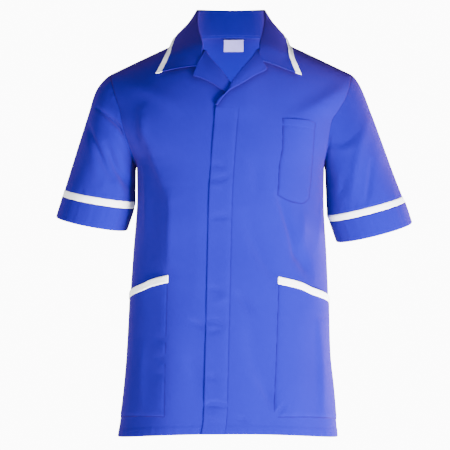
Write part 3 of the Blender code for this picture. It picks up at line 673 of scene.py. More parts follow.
def fly_placket():
    """The folded strip that covers the buttons, on the left front from the break to the hem."""
    hem = hem_height(FRONT, SECTION.pace_of_out(PLACKET_WIDTH / BODY("half_width", HEM_SIDE)))
    length = PLACKET_TOP - hem
    row = stations(length, seams=(length - HEM_STITCH,))[:, None]
    column = stations(PLACKET_WIDTH, seams=(PLACKET_WIDTH - PLACKET_STITCH,))[None, :]
    z = PLACKET_TOP - length * row + 0 * column
    from_fold, from_seam = column * PLACKET_WIDTH, (1 - column) * PLACKET_WIDTH
    lift = (PLACKET_LIFT - rounded(from_fold) - 0.0007 * smooth(0.0140, 0.0010, from_seam)
            - 0.0004 * ridge(from_seam, PLACKET_STITCH, 0.0010)
            + crease_lift(PLACKET_CREASES, from_fold, z)
            + 0.0004 * pucker(z, 0.017) * ridge(from_seam, PLACKET_STITCH, 0.006)
            + (0.0002 + 0.0005 * pucker(z, 0.16, 1.0)) * smooth(0.016, 0.0, from_fold))
    lift = lift * smooth(-0.006, 0.045, row * length) - rounded((1 - row) * length)
    points, normals = front_at(LEFT, FRONT_EDGE("x", z) + from_fold, z, lift)
    end, turn = PLACKET_TOP - PLACKET_END, smooth(*PLACKET_TURN, np.ravel(column))
    sew("blue", points, normals, row=index_at(row, (end - PLACKET_CURVE * turn) / length),
        column=np.arange(column.size))
    sew("blue", points, normals, row=np.arange(index_at(row, end / length)),
        column=index_at(column, 1 - PLACKET_STITCH / PLACKET_WIDTH))
    # Painted shade beside the placket's stitched inner edge, kept soft
    shell("fly_placket", points, normals, twill, pair(from_fold, z), thick=PLACKET_CLOTH,
          from_seam=from_seam + FREE_SHADE)


# Revers

ROLL_INSET = 0.0055  # how far the round fold keeps off the roll line, so that it ends on it
ROLL_FADES = (-0.128, -0.108), (-0.028, -0.048)  # heights between which it does so, at both ends


def roll_x(z):
    """x at which a revers leaves its front, at height z."""
    return ROLL_LINE("x", z) + ROLL_INSET * smooth(*ROLL_FADES[0], z) * smooth(*ROLL_FADES[1], z)


REVERS = {
    LEFT: Table("share roll_height edge_x edge_z",
                (0.00, -0.0310, 0.0555, -0.0535), (0.16, -0.0420, 0.0645, -0.0670),
                (0.34, -0.0600, 0.0440, -0.0800), (0.56, -0.0850, 0.0200, -0.0951),
                (0.76, -0.1060, -0.0057, -0.1103), (0.90, -0.1200, -0.0168, -0.1226),
                (1.00, -0.1350, -0.0252, -0.1352)),
    RIGHT: Table("share roll_height edge_x edge_z",
                 (0.00, -0.0310, 0.0625, -0.0630), (0.16, -0.0420, 0.0689, -0.0790),
                 (0.34, -0.0560, 0.0560, -0.0840), (0.56, -0.0760, 0.0379, -0.0921),
                 (0.80, -0.1000, 0.0127, -0.1082), (0.90, -0.1110, -0.0030, -0.1150),
                 (1.00, -0.1220, -0.0160, -0.1225)),
}
REVERS_LIFT, REVERS_SPREAD = WALL + LAYER_GAP + 0.0001, 0.0026
REVERS_STITCH = 0.0045  # from the edge of a revers to its stitches
CORNER_STEPS = np.array((-0.012, -0.004, 0, 0.004, 0.012))
REVERS_CORNER = 0.16  # share at which a revers has its point
REVERS_LENGTH, REVERS_WIDTH = 0.125, 0.030
REVERS_TOP_RUN = 0.09  # how far a share runs from the top of a revers
REVERS_FOLD = np.linspace(0.12, 1, 9)[None, :-1] * math.pi  # angles round its fold


def revers(side):
    """The part of a front that is turned out along the roll line, with its rounded fold."""
    table = REVERS[side]
    share = np.union1d(stations(REVERS_LENGTH), REVERS_CORNER + CORNER_STEPS)[:, None]
    outward = stations(REVERS_WIDTH, near=(0.0,))[None, :]
    roll_z, edge_x, edge_z = (table(column, share) for column in table.columns[1:])
    start_x, from_top = roll_x(roll_z), share * REVERS_TOP_RUN
    span = np.hypot(edge_x - start_x, edge_z - roll_z)
    x, z = mix(start_x, edge_x, outward), mix(roll_z, edge_z, outward)
    edge = np.minimum((1 - outward) * span, from_top)
    lift = (REVERS_LIFT + REVERS_SPREAD * outward * (1 - share) ** 2 - rounded(edge)
            - 0.0004 * ridge(edge, REVERS_STITCH, 0.0010)
            + 0.0016 * np.sin(math.pi * outward) * (1 - share))
    leaf, leaf_normals = front_at(side, side * x, z, lift)
    sewn = np.ravel((from_top > REVERS_STITCH) & (span > 2 * REVERS_STITCH))
    sew("blue", leaf, leaf_normals, row=np.flatnonzero(sewn),
        column=index_at(outward, np.ravel(1 - REVERS_STITCH / span[sewn])))

    root, out = front_at(side, side * start_x, roll_z)
    inward = unit(leaf[:, 1:2] - leaf[:, :1])
    inward = unit(np.sum(inward * out, -1, keepdims=True) * out - inward)
    middle, radius = (lift[:, :1] - CLOTH) / 2, (lift[:, :1] + CLOTH) / 2
    around, across = np.cos(REVERS_FOLD), np.sin(REVERS_FOLD)
    fold = root + out * (middle - radius * around)[..., None] + inward * (radius * across)[..., None]
    fold_normals = inward * across[..., None] - out * around[..., None]
    points = np.concatenate((fold, leaf), 1)
    normals = np.concatenate((fold_normals, leaf_normals), 1)
    # Painted shade along the edges of the revers, kept soft; none on the fold
    from_edge = np.concatenate((np.ones_like(fold[..., 0]), edge + FREE_SHADE), 1)
    shell("lapel_" + SIDE_NAME[side], points, normals, twill, laid_out(points), from_seam=from_edge)


def laid_out(points):
    """Cloth coordinates of a grid, in metres along its middle row and its middle column."""
    def run(line):
        steps = np.linalg.norm(np.diff(line, axis=0), axis=-1)
        return np.concatenate(([0], np.cumsum(steps)))

    rows, columns = points.shape[:2]
    return pair(run(points[rows // 2])[None, :], run(points[:, columns // 2])[:, None])


# Collar

BACK_SHARE, ROLL_SHARE = 0.45, 0.74
COLLAR = Table("share roll_x roll_y roll_z edge_x edge_y edge_z fold",
               (-0.18, -0.0400, 0.0800, 0.0585, -0.0540, 0.0950, -0.0120, 0.0030),
               (0.00, 0.0000, 0.0880, 0.0585, 0.0000, 0.1060, -0.0130, 0.0030),
               (0.18, 0.0400, 0.0800, 0.0585, 0.0540, 0.0950, -0.0120, 0.0030),
               (0.32, 0.0640, 0.0480, 0.0560, 0.0900, 0.0640, -0.0060, 0.0030),
               (0.45, 0.0655, 0.0100, 0.0370, 0.1030, 0.0120, 0.0040, 0.0030),
               (0.60, 0.0615, -0.0330, 0.0090, 0.1148, -0.0350, -0.0217, 0.0028),
               (0.74, 0.0530, -0.0740, -0.0235, 0.1200, -0.0600, -0.0400, 0.0021),
               (0.88, 0.0548, -0.0850, -0.0420, 0.1265, -0.0700, -0.0570, 0.0019),
               (1.00, 0.0625, -0.0950, -0.0605, 0.1340, -0.0800, -0.0735, 0.0019))
# How far each front end of the collar lies from the table, outwards and up
COLLAR_END = {LEFT: {"roll": (-0.0075, 0.0075), "edge": (-0.0050, -0.0038)},
              RIGHT: {"roll": (0.0, -0.0010), "edge": (0.0055, 0.0015)}}
EDGE_LEAN_SHARE = 0.3
STUB = 0.005  # height of the stand where the collar lies flat on a front
LIES_FLAT = ROLL_SHARE - 0.10, ROLL_SHARE + 0.02  # shares between which it comes to do so
LEAF_CLEAR = WALL + 0.0016  # least height of the leaf above a front
LEAF_CROWN, CROWN_POWER = 0.0030, 0.9  # how far and how fully the leaf bulges
LEAF_ON_FRONT = -0.02  # y forward of which the leaf can meet the fronts
BELOW_SHOULDER = 0.002
ALONG_STEP = 0.01
STAND_ROWS, FOLD_ROWS = 7, 9


def neck_seam(side, share):
    """Outer edge point, and its normal, where the collar is sewn to the body."""
    if share < BACK_SHARE:
        place = back_neck(side, 90 * share / BACK_SHARE)
        return body(BACK, *place), body_normal(BACK, *place)
    z = ROLL_END * (min(share, ROLL_SHARE) - BACK_SHARE) / (ROLL_SHARE - BACK_SHARE)
    return front_at(side, side * ROLL_LINE("x", z), z)


def collar_column(side, share, leaf_share):
    """Seen points of the collar at one place round the neck: up the stand, over the roll and
    down the leaf."""
    def at(what, share):
        x, y, z = (float(COLLAR(what + "_" + axis, share)) for axis in "xyz")
        outwards, up = COLLAR_END[side][what]
        lean = smooth(ROLL_SHARE if what == "roll" else EDGE_LEAN_SHARE, 1, share)
        return np.array((side * (x + outwards * lean), y, z + up * lean))

    roll, edge, fold = at("roll", share), at("edge", share), float(COLLAR("fold", share))
    along = unit(at("roll", min(share + ALONG_STEP, 1)) - at("roll", max(share - ALONG_STEP, 0)))
    seam, out = neck_seam(side, share)
    foot = seam - out * WALL
    up = roll - (foot + edge) / 2
    up = unit(up - along * np.dot(up, along))
    away = np.cross(along, up)
    away = away * np.sign(np.dot(away, edge - foot))
    lying = float(smooth(*LIES_FLAT, share))
    if lying > 0:
        ground, flat_away = front_at(side, roll[0], roll[2])
        flat_up = np.cross(along, flat_away)
        flat_up = flat_up * np.sign(np.dot(flat_up, roll - edge))
        flat_roll = ground + flat_away * (fold + LAYER_GAP)
        flat_foot = flat_roll - flat_away * fold - flat_up * STUB
        roll, foot = mix(roll, flat_roll, lying), mix(foot, flat_foot, lying)
        away, up = unit(mix(away, flat_away, lying)), unit(mix(up, flat_up, lying))
    rim_in, rim_out = roll - away * fold, roll + away * fold
    stand = [mix(foot, rim_in, step) for step in np.linspace(0, 1, STAND_ROWS)[:-1]]
    turn = [roll - away * fold * math.cos(angle) + up * fold * math.sin(angle)
            for angle in np.linspace(0, math.pi, FOLD_ROWS)[:-1]]
    crown = LEAF_CROWN * np.sin(math.pi * leaf_share) ** CROWN_POWER
    leaf = [clear_front(side, mix(rim_out, edge, step) + away * rise)
            for step, rise in zip(leaf_share, crown)]
    return stand + turn + leaf


def clear_front(side, point):
    """Keeps a point of the leaf just off the front below it."""
    if point[1] > LEAF_ON_FRONT:
        return point
    below_shoulder = min(point[2], float(shoulder(point[0])) - BELOW_SHOULDER)
    ground, normal = front_at(side, point[0], below_shoulder)
    return point + normal * max(0.0, LEAF_CLEAR - float(np.dot(point - ground, normal)))


COLLAR_RUN = 0.215  # length of half the collar
LEAF_WIDTH = 0.074  # width of the leaf from the roll to its edge
COLLAR_CLOTH, TAPE_CLOTH, TAPE_LIFT = 0.0010, 0.0014, 0.0003
COLLAR_STITCH = 0.0014  # from the tape to the stitches beside it
# Rows and a column of the collar's grid that stitches follow: on both sides of the collar's left
# end, and at the foot of the stand
END_ROWS, FOOT_COLUMN = 1.4, 0.6


def collar():
    """The collar and the white tape along its outer edge."""
    seam = LEAF_WIDTH - COLLAR_TAPE
    leaf = stations(LEAF_WIDTH, near=(0.0,), seams=(seam,))
    around = stations(COLLAR_RUN, near=(), seams=())
    stops = [(RIGHT, share) for share in around[:0:-1]] + [(LEFT, share) for share in around]
    points = np.array([collar_column(side, share, leaf) for side, share in stops])
    normals = unit(np.cross(np.gradient(points, axis=1), np.gradient(points, axis=0)))
    cloth = laid_out(points)
    ends = np.array([share for _, share in stops])[:, None]
    leaf_from = STAND_ROWS + FOLD_ROWS - 2
    from_end, from_edge = (1 - ends) * COLLAR_RUN, np.ones(points.shape[:2])
    from_edge[:, leaf_from:] = (1 - leaf) * LEAF_WIDTH
    up_stand = np.arange(points.shape[1]) / STAND_ROWS
    lift = (-rounded(from_end) - 0.0005 * ridge(from_end, 0.0050, 0.0009) * (from_edge < 1)
            - rounded(from_edge) - 0.0006 * ridge(from_edge, COLLAR_TAPE, 0.0009)
            - 0.0004 * ridge(from_edge, COLLAR_TAPE + COLLAR_STITCH, 0.0008)
            + 0.0005 * pucker(cloth[..., 1], 0.021) * ridge(from_edge, COLLAR_TAPE, 0.008)
            + 0.0007 * pucker(cloth[..., 1], 0.014) * smooth(0.9, 0.1, up_stand) * (ends < 0.5))
    points = points + normals * lift[..., None]
    beside_tape, on_tape = (leaf_from + index_at(leaf, (seam + out) / LEAF_WIDTH)
                            for out in (-COLLAR_STITCH, COLLAR_STITCH))
    sew("blue", points, normals, column=beside_tape)
    sew("white", points, normals, column=on_tape)
    last = len(points) - 1
    for row in (last + END_ROWS, last - END_ROWS):
        sew("blue", points, normals, row=row, column=np.arange(leaf_from + 1, beside_tape))
    sew("blue", points, normals, row=np.flatnonzero(ends < BACK_SHARE), column=FOOT_COLUMN)
    border = leaf_from + int(np.argmin(np.abs(leaf - seam / LEAF_WIDTH)))
    blue, white = np.s_[:, :border + 1], np.s_[:, border:]
    shell("collar", points[blue], normals[blue], twill, cloth[blue], thick=COLLAR_CLOTH)
    shell("collar_trim", points[white] + normals[white] * TAPE_LIFT, normals[white], tape_white,
          cloth[white], thick=TAPE_CLOTH)


# Sleeves

SLEEVE = {
    LEFT: Table("length top_x top_z under_x under_z half_depth",
                (0.000, 0.2290, -0.0710, 0.1768, -0.2410, 0.0660),
                (0.030, 0.2352, -0.0775, 0.1790, -0.2440, 0.0660),
                (0.090, 0.2449, -0.0925, 0.1800, -0.2520, 0.0670),
                (0.300, 0.2660, -0.1450, 0.1805, -0.2750, 0.0690),
                (0.816, 0.3243, -0.3004, 0.1834, -0.3360, 0.0640),
                (0.859, 0.3289, -0.3108, 0.1880, -0.3470, 0.0635),
                (1.000, 0.3424, -0.3500, 0.2018, -0.3859, 0.0620)),
    RIGHT: Table("length top_x top_z under_x under_z half_depth",
                 (0.000, 0.2290, -0.0710, 0.1788, -0.2410, 0.0660),
                 (0.049, 0.2400, -0.0800, 0.1812, -0.2450, 0.0660),
                 (0.139, 0.2557, -0.1010, 0.1818, -0.2530, 0.0670),
                 (0.300, 0.2700, -0.1450, 0.1816, -0.2660, 0.0690),
                 (0.816, 0.3148, -0.2880, 0.1825, -0.3100, 0.0640),
                 (0.859, 0.3183, -0.3000, 0.1850, -0.3225, 0.0635),
                 (1.000, 0.3304, -0.3390, 0.1986, -0.3639, 0.0620)),
}
SLEEVE_RUN = 0.29  # length along a sleeve, from armhole to cuff edge
SLEEVE_ROUND = 0.42  # length of cloth round a sleeve
SLEEVE_TILT = 0.0065  # how far a cuff's front edge lies below its middle
SLEEVE_PHASE = 9  # sets the waves of a sleeve's parts apart
SLEEVE_COLUMNS, SLEEVE_CELL = 160, 0.0027
BAND_STITCH = 0.0011  # from a band's or a cuff's edge to its stitches
SETTLE = 0.40  # length at which a sleeve has left the armhole's shape
BAND_CLOTH, BAND_LIFT, CUFF_CLOTH = 0.0012, 0.0005, 0.0014
# Where a sleeve's creases fade: beside its upper and lower edges, at the armhole and at the band
RIM_FADE, ARMHOLE_FADE, BAND_FADE = (0.004, 0.030), (0, 0.05), (BAND_TOP + 0.01, BAND_TOP - 0.09)
SLEEVE_FOLDS = {
    LEFT: creases(
        (188, -213, 247, -189, -11, 10, 1.1, 1.5),
        (188, -202, 232, -184, -9, 7, 1.2, -1.3),
        (254, -159, 226, -300, -4, 8, 1.3, 3.2),
        (262, -235, 252, -315, 1, 5, 1.3, -3.4),
        (210, -262, 206, -300, 1, 6, 1.3, -1.6),
        (292, -200, 296, -285, -3, 12, 1.4, -1.4)),
    RIGHT: creases(
        (252.5, -135, 178, -247, -16.5, 3.6, 1.2, -7.5),
        (238, -128, 187, -196, -11, 8, 1.3, 2),
        (228, -187, 217, -224, 2, 8, 1.3, 1.4),
        (270, -166, 222, -268, 3, 6, 1.2, -6.5),
        (260, -196, 250, -262, 2, 9, 1.3, 3.4),
        (232, -206, 196, -278, 2, 8, 1.3, -9.8),
        (212, -262, 202, -300, 2, 7, 1.3, 2.4),
        (236, -268, 238, -292, 1, 5, 1.3, 1.2),
        (290, -215, 300, -270, -3, 12, 1.4, -1.4)),
}
SLEEVE_BACK_FOLDS = creases(
    (186, -224, 244, -150, 6, 10, 1.6, 5),
    (200, -262, 262, -190, 6, 12, 1.4, -4),
    (272, -200, 266, -270, 3, 13, 1.5, 1.8),
    (236, -120, 222, -170, -3, 11, 1.4, -1.4))


def armhole(side, around):
    """The armhole edge. around is 0 at the shoulder, 0.5 at the underarm and 1 back again."""
    down = 1 - np.abs(1 - 2 * around)
    front_edge, back_edge = body(FRONT, side, down), body(BACK, side, down)
    return np.where((around < 0.5)[..., None], front_edge, back_edge)


def sleeve_ring(side, length, around):
    table, angle = SLEEVE[side], math.tau * around
    top_x, top_z = table("top_x", length), table("top_z", length)
    under_x, under_z = table("under_x", length), table("under_z", length)
    swing, depth = np.cos(angle), np.sin(angle)
    x = (top_x + under_x) / 2 + swing * (top_x - under_x) / 2
    z = (top_z + under_z) / 2 + swing * (top_z - under_z) / 2 - SLEEVE_TILT * depth * length
    return np.stack((side * x, -table("half_depth", length) * depth, z), -1)


def sleeve_form(side, length, around):
    """Outer form of a sleeve. length is 0 at the armhole and 1 at the cuff's edge."""
    length, around = grids(length, around)
    ring = sleeve_ring(side, length, around)
    start = armhole(side, around) - sleeve_ring(side, 0 * length, around)
    return ring + (1 - smooth(0, SETTLE, length))[..., None] * start


def sleeve_normal(side, length, around, step=0.004):
    turn = sleeve_form(side, length, around + step) - sleeve_form(side, length, around - step)
    run = (sleeve_form(side, np.clip(length + step, 0, 1), around)
           - sleeve_form(side, np.clip(length - step, 0, 1), around))
    return unit(np.cross(turn, run)) * side


def sleeve_skin(side, length, around, lift):
    """Outer points and normals of a sleeve with its creases, moved out by lift."""
    points, normals = sleeve_form(side, length, around), sleeve_normal(side, length, around)
    x, y, z = np.moveaxis(points, -1, 0)
    move = np.where(y < 0, crease_lift(SLEEVE_FOLDS[side], side * x, z),
                    crease_lift(SLEEVE_BACK_FOLDS, side * x, z))
    move = (move * smooth(*RIM_FADE, np.abs(y)) * smooth(*ARMHOLE_FADE, length)
            * smooth(*BAND_FADE, length))
    return points + normals * (move + lift)[..., None], normals


def sleeve(side):
    """Sleeve, white band and cuff, one tube cut at two seams."""
    around = np.arange(SLEEVE_COLUMNS)[None, :] / SLEEVE_COLUMNS
    closed = np.append(np.arange(SLEEVE_COLUMNS), 0)
    for prefix, material, start, end, thick in (
            ("sleeve_", twill, 0.0, BAND_TOP, CLOTH),
            ("sleeve_band_", tape_white, BAND_TOP, BAND_BOTTOM, BAND_CLOTH),
            ("cuff_", twill, BAND_BOTTOM, 1.0, CUFF_CLOTH)):
        run = (end - start) * SLEEVE_RUN
        share = stations(run, cell=SLEEVE_CELL)[:, None]
        length, into = mix(start, end, share), share * run
        turned = pucker(around * SLEEVE_ROUND, 0.019, phase=start * SLEEVE_PHASE)
        lift = -0.0009 * ridge(into, 0, 0.0010) - 0.0006 * ridge(run - into, 0, 0.0008)
        stitched = ()
        if prefix == "sleeve_":
            lift = (lift + 0.0007 * turned * smooth(0.022, 0.004, run - into)
                    + 0.0005 * turned * smooth(0.020, 0.004, into))
        elif prefix == "sleeve_band_":
            lift, stitched = lift + BAND_LIFT, (BAND_STITCH, run - BAND_STITCH)
        else:
            lift = 0.0004 - rounded(run - into) - 0.0008 * ridge(into, 0, 0.0009) + 0.0004 * turned
            stitched = (BAND_STITCH,)
        points, normals = sleeve_skin(side, length, around, lift)
        for edge in stitched:
            sew("white" if material == tape_white else "blue", points, normals,
                row=index_at(into, edge), column=closed)
        # Painted shade at the upper end of each part: below the armhole, the band's seam and the cuff's
        # seam
        shell(prefix + SIDE_NAME[side], points, normals, material,
              pair(around * SLEEVE_ROUND, -length * SLEEVE_RUN), thick, around=True,
              from_seam=into + SLEEVE_SHADE)


# Pockets and label

POCKET_TOP = {
    LEFT: Table("share height", (0.00, -0.4507), (0.25, -0.4612), (0.41, -0.4724), (1.00, -0.4956)),
    RIGHT: Table("share height", (0.00, -0.4482), (0.23, -0.4561), (0.42, -0.4663), (1.00, -0.4870)),
}
POCKET_INNER = {LEFT: (0.0876, 0.0791), RIGHT: (0.1143, 0.1192)}
POCKET_BOTTOM = {LEFT: (-0.7095, -0.7255), RIGHT: (-0.7095, -0.7215)}
POCKET_GAP = 0.0004  # between a pocket and its front
POCKET_BAG, CHEST_BAG = 0.0035, 0.0035 / 6  # how far a pocket's middle stands out
POCKET_HEIGHT, POCKET_WIDTH = 0.250, {LEFT: 0.150, RIGHT: 0.115}
EDGE_STITCH = 0.0018  # from a folded edge to the stitches along it
TAPE_RETURN = 0.0045  # width of the tape's turned and stitched end
POCKET_TAPE_LIFT = 0.0007
CHEST_SHADE, CHEST_SPREAD, HIP_SPREAD = 0.0003, 0.7, 1.5  # soft painted shade at the pockets' edges
CHEST_LEFT = Table("height x", (-0.158, 0.0945), (-0.210, 0.0940), (-0.240, 0.0888), (-0.305, 0.0848))
CHEST_RIGHT = Table("height x", (-0.158, 0.1540), (-0.240, 0.1510), (-0.305, 0.1445))
CHEST_TOP = Table("share height", (0.0, -0.1585), (0.75, -0.1620), (1.0, -0.1675))
CHEST_BOTTOM = Table("share height", (0.0, -0.3000), (0.4, -0.3125), (0.72, -0.3160), (1.0, -0.3065))
CHEST_SIZE = (0.064, 0.150)
CHEST_HEM = 0.0130  # from the chest pocket's top to its stitches
# Creases in the hip pockets, measured outwards from the middle of the front
POCKET_CREASES = {
    LEFT: creases(
        (80, -708, 96, -688, 0.5, 3.5, 1.3, -3.6),
        (83, -700, 90, -686, 0.5, 3, 1.2, 2.4),
        (161, -535, 168, -715, 2, 6, 2.2, 4.2),
        (130, -520, 125, -690, -4, 16, 1.5, 1.2)),
    RIGHT: creases(
        (127, -558, 131, -574, 0.5, 9, 1.3, -1.2),
        (123, -596, 129, -610, 0.5, 9, 1.3, -1.4),
        (128, -624, 134, -638, 0.5, 10, 1.3, -1.2),
        (164, -575, 165, -690, 2, 8, 1.4, 2.2),
        (178, -540, 186, -700, 3, 10, 1.4, 1.6)),
}


def patch_lift(share, depth, bag):
    return CLOTH + POCKET_GAP + bag * np.sin(math.pi * share) ** 2 * (1 - depth) ** 2


def chest_pocket():
    width, height = CHEST_SIZE
    share = stations(width, seams=(EDGE_STITCH, width - EDGE_STITCH))[None, :]
    depth = stations(height, seams=(CHEST_HEM, height - EDGE_STITCH))[:, None]
    z = mix(CHEST_TOP("height", share), CHEST_BOTTOM("height", share), depth)
    start, down = find(FRONT, CHEST_LEFT("x", z), z)
    end = find(FRONT, CHEST_RIGHT("x", z), z)[0]
    x = body(FRONT, mix(start, end, share), down)[..., 0]
    edge = np.minimum(np.minimum(share, 1 - share) * width, (1 - depth) * height)
    lift = (patch_lift(share, depth, CHEST_BAG) - rounded(edge) - rounded(depth * height, THIN_FOLD)
            - 0.0006 * smooth(0.009, 0.001, edge) - 0.0004 * ridge(edge, EDGE_STITCH, 0.0009)
            - 0.0003 * ridge(depth * height, CHEST_HEM, 0.0012)
            + 0.0005 * pucker(x + z, 0.023) * smooth(0.012, 0.003, edge))
    points, normals = front_at(LEFT, x, z, lift)
    foot_row = index_at(depth, 1 - EDGE_STITCH / height)
    for into in (EDGE_STITCH, width - EDGE_STITCH):
        sew("blue", points, normals, row=np.arange(foot_row), column=index_at(share, into / width))
    sew("blue", points, normals, row=foot_row)
    sew("blue", points, normals, row=index_at(depth, CHEST_HEM / height))
    # Painted shade along the pocket's sides and bottom
    shell("chest_pocket", points, normals, twill, pair(share * width, -depth * height),
          from_seam=CHEST_SHADE + CHEST_SPREAD * edge)


def hip_place(side, share, fall):
    """Points and normals of the front under a hip pocket, share from its inner edge to the side
    seam and fall from its top to its bottom."""
    top = POCKET_TOP[side]("height", share)
    bottom_in, bottom_side = POCKET_BOTTOM[side]
    z = mix(top, mix(bottom_in, bottom_side, share ** 2), fall)
    start = find(FRONT, side * mix(*POCKET_INNER[side], fall), z)[0]
    across = mix(start, side * 1.0, share)
    down = 1 + (UNDERARM - z) / (UNDERARM - hem_height(FRONT, np.abs(across)))
    return front_skin(side, across, down)


def hip_pocket(side):
    """A hip pocket and the white tape along its top."""
    width, tape = POCKET_WIDTH[side], POCKET_TAPE / POCKET_HEIGHT
    share = stations(width, seams=(EDGE_STITCH,))[None, :]
    inner = share * width
    for prefix, material, thread, thick, beside, high, low in (
            ("pocket_", twill, "blue", CLOTH, EDGE_STITCH, tape, 1.0),
            ("pocket_trim_", tape_white, "white", TAPE_CLOTH, TAPE_RETURN, 0.0, tape)):
        height = (low - high) * POCKET_HEIGHT
        row = stations(height, seams=(height - EDGE_STITCH,) if low == 1 else ())[:, None]
        fall = mix(high, low, row)
        foot = (1 - fall) * POCKET_HEIGHT
        points, normals = hip_place(side, share, fall)
        lift = (patch_lift(share, fall, POCKET_BAG) - rounded(inner)
                - 0.0004 * ridge(inner, EDGE_STITCH, 0.0009)
                - 0.0007 * smooth(0.009, 0.001, np.minimum(inner, foot))
                + 0.0003 * pucker(fall, 0.12) * smooth(0.015, 0.002, inner)
                - 0.0012 * smooth(0.012, 0.0, width - inner))
        if low == 1:
            lift = (lift - rounded(foot) - 0.0004 * ridge(foot, EDGE_STITCH, 0.0009)
                    - 0.0006 * ridge(row, 0, 0.006)
                    + 0.0005 * pucker(inner, 0.021) * smooth(0.014, 0.003, foot)
                    + crease_lift(POCKET_CREASES[side], side * points[..., 0], points[..., 2]))
        else:
            lift = (lift + POCKET_TAPE_LIFT - rounded(row * height) - rounded((1 - row) * height)
                    - 0.0005 * ridge(inner, TAPE_RETURN, 0.0008))
        points = points + normals * lift[..., None]
        sew(thread, points, normals, row=index_at(row, 1 - EDGE_STITCH / height))
        sew(thread, points, normals, column=index_at(share, beside / width))
        # Painted shade along the pocket's inner edge and its bottom
        shell(prefix + SIDE_NAME[side], points, normals, material,
              pair(inner, -fall * POCKET_HEIGHT), thick,
              from_seam=HIP_SPREAD * np.minimum(inner, foot))


LABEL = (-0.0139, 0.0250, 0.0060, -0.0165)  # low x, high x, high z, low z
LABEL_STITCH = 0.0008  # from the label's edges to its stitches
LABEL_CLOTH = 0.0006
LABEL_GAP = 0.0024  # from the back's inner face to the label's outer face


def neck_label():
    """A blank label on the inside of the back, below the neck seam."""
    low_x, high_x, high_z, low_z = LABEL
    width, height = high_x - low_x, high_z - low_z
    column, row = stations(width)[None, :], stations(height)[:, None]
    x, z = grids(low_x + width * column, high_z - height * row)
    place = find(BACK, x, z)
    out = body_normal(BACK, *place)
    edge = np.minimum(np.minimum(column, 1 - column) * width, np.minimum(row, 1 - row) * height)
    lift = 0.0004 * np.sin(math.pi * row) + 0.0003 * pucker(x, 0.011) * row - rounded(edge, THIN_FOLD)
    points = body(BACK, *place) - out * (WALL + LABEL_GAP + lift)[..., None]
    for into in (LABEL_STITCH, width - LABEL_STITCH):
        sew("white", points, -out, column=index_at(column, into / width))
    for into in (LABEL_STITCH, height - LABEL_STITCH):
        sew("white", points, -out, row=index_at(row, into / height))
    shell("neck_label", points, -out, label_satin, pair(x, z), thick=LABEL_CLOTH)


class NodeTree:
    """Builds nodes in a tree: one method takes a node's type, its settings and its inputs."""

    def __init__(self, tree):
        self.tree = tree

    def node(self, kind, settings=(), inputs=(), output=0):
        made = self.tree.nodes.new(kind)
        for key, value in dict(settings).items():
            setattr(made, key, value)
        for key, value in dict(inputs).items():
            if isinstance(value, Value):
                self.tree.links.new(value.socket, made.inputs[key])
            else:
                made.inputs[key].default_value = value
        return Value(self, made.outputs[output]) if len(made.outputs) else made


class Value:
    """A socket in an expression. Each operator adds a Math node."""

    def __init__(self, nodes, socket):
        self.nodes, self.socket = nodes, socket

    def maths(self, operation, *inputs):
        return self.nodes.node("ShaderNodeMath", {"operation": operation}, dict(enumerate(inputs)))

    def __add__(self, other):
        return self.maths("ADD", self, other)

    def __sub__(self, other):
        return self.maths("SUBTRACT", self, other)

    def __rsub__(self, other):
        return self.maths("SUBTRACT", other, self)

    def __mul__(self, other):
        return self.maths("MULTIPLY", self, other)

    __radd__, __rmul__ = __add__, __mul__

    def sine(self):
        return self.maths("SINE", self)

    def part(self, name):
        """Another output of the same node."""
        return Value(self.nodes, self.socket.node.outputs[name])


def finish(name, paint=None, **shader_values):
    """A material on the Principled shader. paint gives the sockets that change over the cloth,
    and shader_values what is the same all over."""
    material = bpy.data.materials.new(name)
    material.use_nodes = True
    shader = material.node_tree.nodes["Principled BSDF"]
    for key, value in shader_values.items():
        shader.inputs[key.replace("_", " ")].default_value = value
    for key, value in (paint(NodeTree(material.node_tree)) if paint else {}).items():
        material.node_tree.links.new(value.socket, shader.inputs[key])
    return material


def cloth_place(nodes):
    """u and v of the cloth, in metres."""
    place = nodes.node("ShaderNodeUVMap", {"uv_map": "cloth"})
    split = nodes.node("ShaderNodeSeparateXYZ", {}, {0: place})
    return split, split.part("Y")


def noise(nodes, scale, detail=2.0):
    place = nodes.node("ShaderNodeTexCoord").part("Object")
    return nodes.node("ShaderNodeTexNoise", {}, {"Vector": place, "Scale": scale, "Detail": detail})


def blend_colours(nodes, first, second, share):
    return nodes.node("ShaderNodeMix", {"data_type": "RGBA"}, {"Factor": share, 6: first, 7: second},
                      output=2)


def bump(nodes, height, distance, strength):
    return nodes.node("ShaderNodeBump", {},
                      {"Height": height, "Distance": distance, "Strength": strength})


BLUE_DEEP, BLUE_BRIGHT = (0.0032, 0.0022, 0.172, 1), (0.0046, 0.0036, 0.216, 1)
TWILL_SHEEN = (0.74, 0.28, 0.95, 1)
BLUE_THREAD = (0.006, 0.002, 0.24, 1), (0.012, 0.008, 0.34, 1)
# Painted shade: the dark blue that the cloth is blended towards beside its seams and edges, and the
# largest share of it
BLUE_PAINTED_SHADE, PAINTED_SHADE_STRENGTH = (0.0040, 0.0006, 0.050, 1), 0.8
WHITE_LOW, WHITE_HIGH = (0.93, 0.93, 0.96, 1), (0.98, 0.98, 0.99, 1)
WHITE_THREAD = WHITE_LOW, (0.9, 0.9, 0.93, 1)
LABEL_LOW, LABEL_HIGH = (0.155, 0.130, 0.385, 1), (0.205, 0.175, 0.50, 1)
# From one ridge of a weave to the next
TWILL_PITCH, YARN_PITCH, TAPE_PITCH, SATIN_PITCH = 0.00085, 0.00045, 0.0006, (0.0009, 0.0004)
TWILL_RISE, YARN_RISE = 1.2, -0.35  # slopes of the twill's ridges and of its yarns


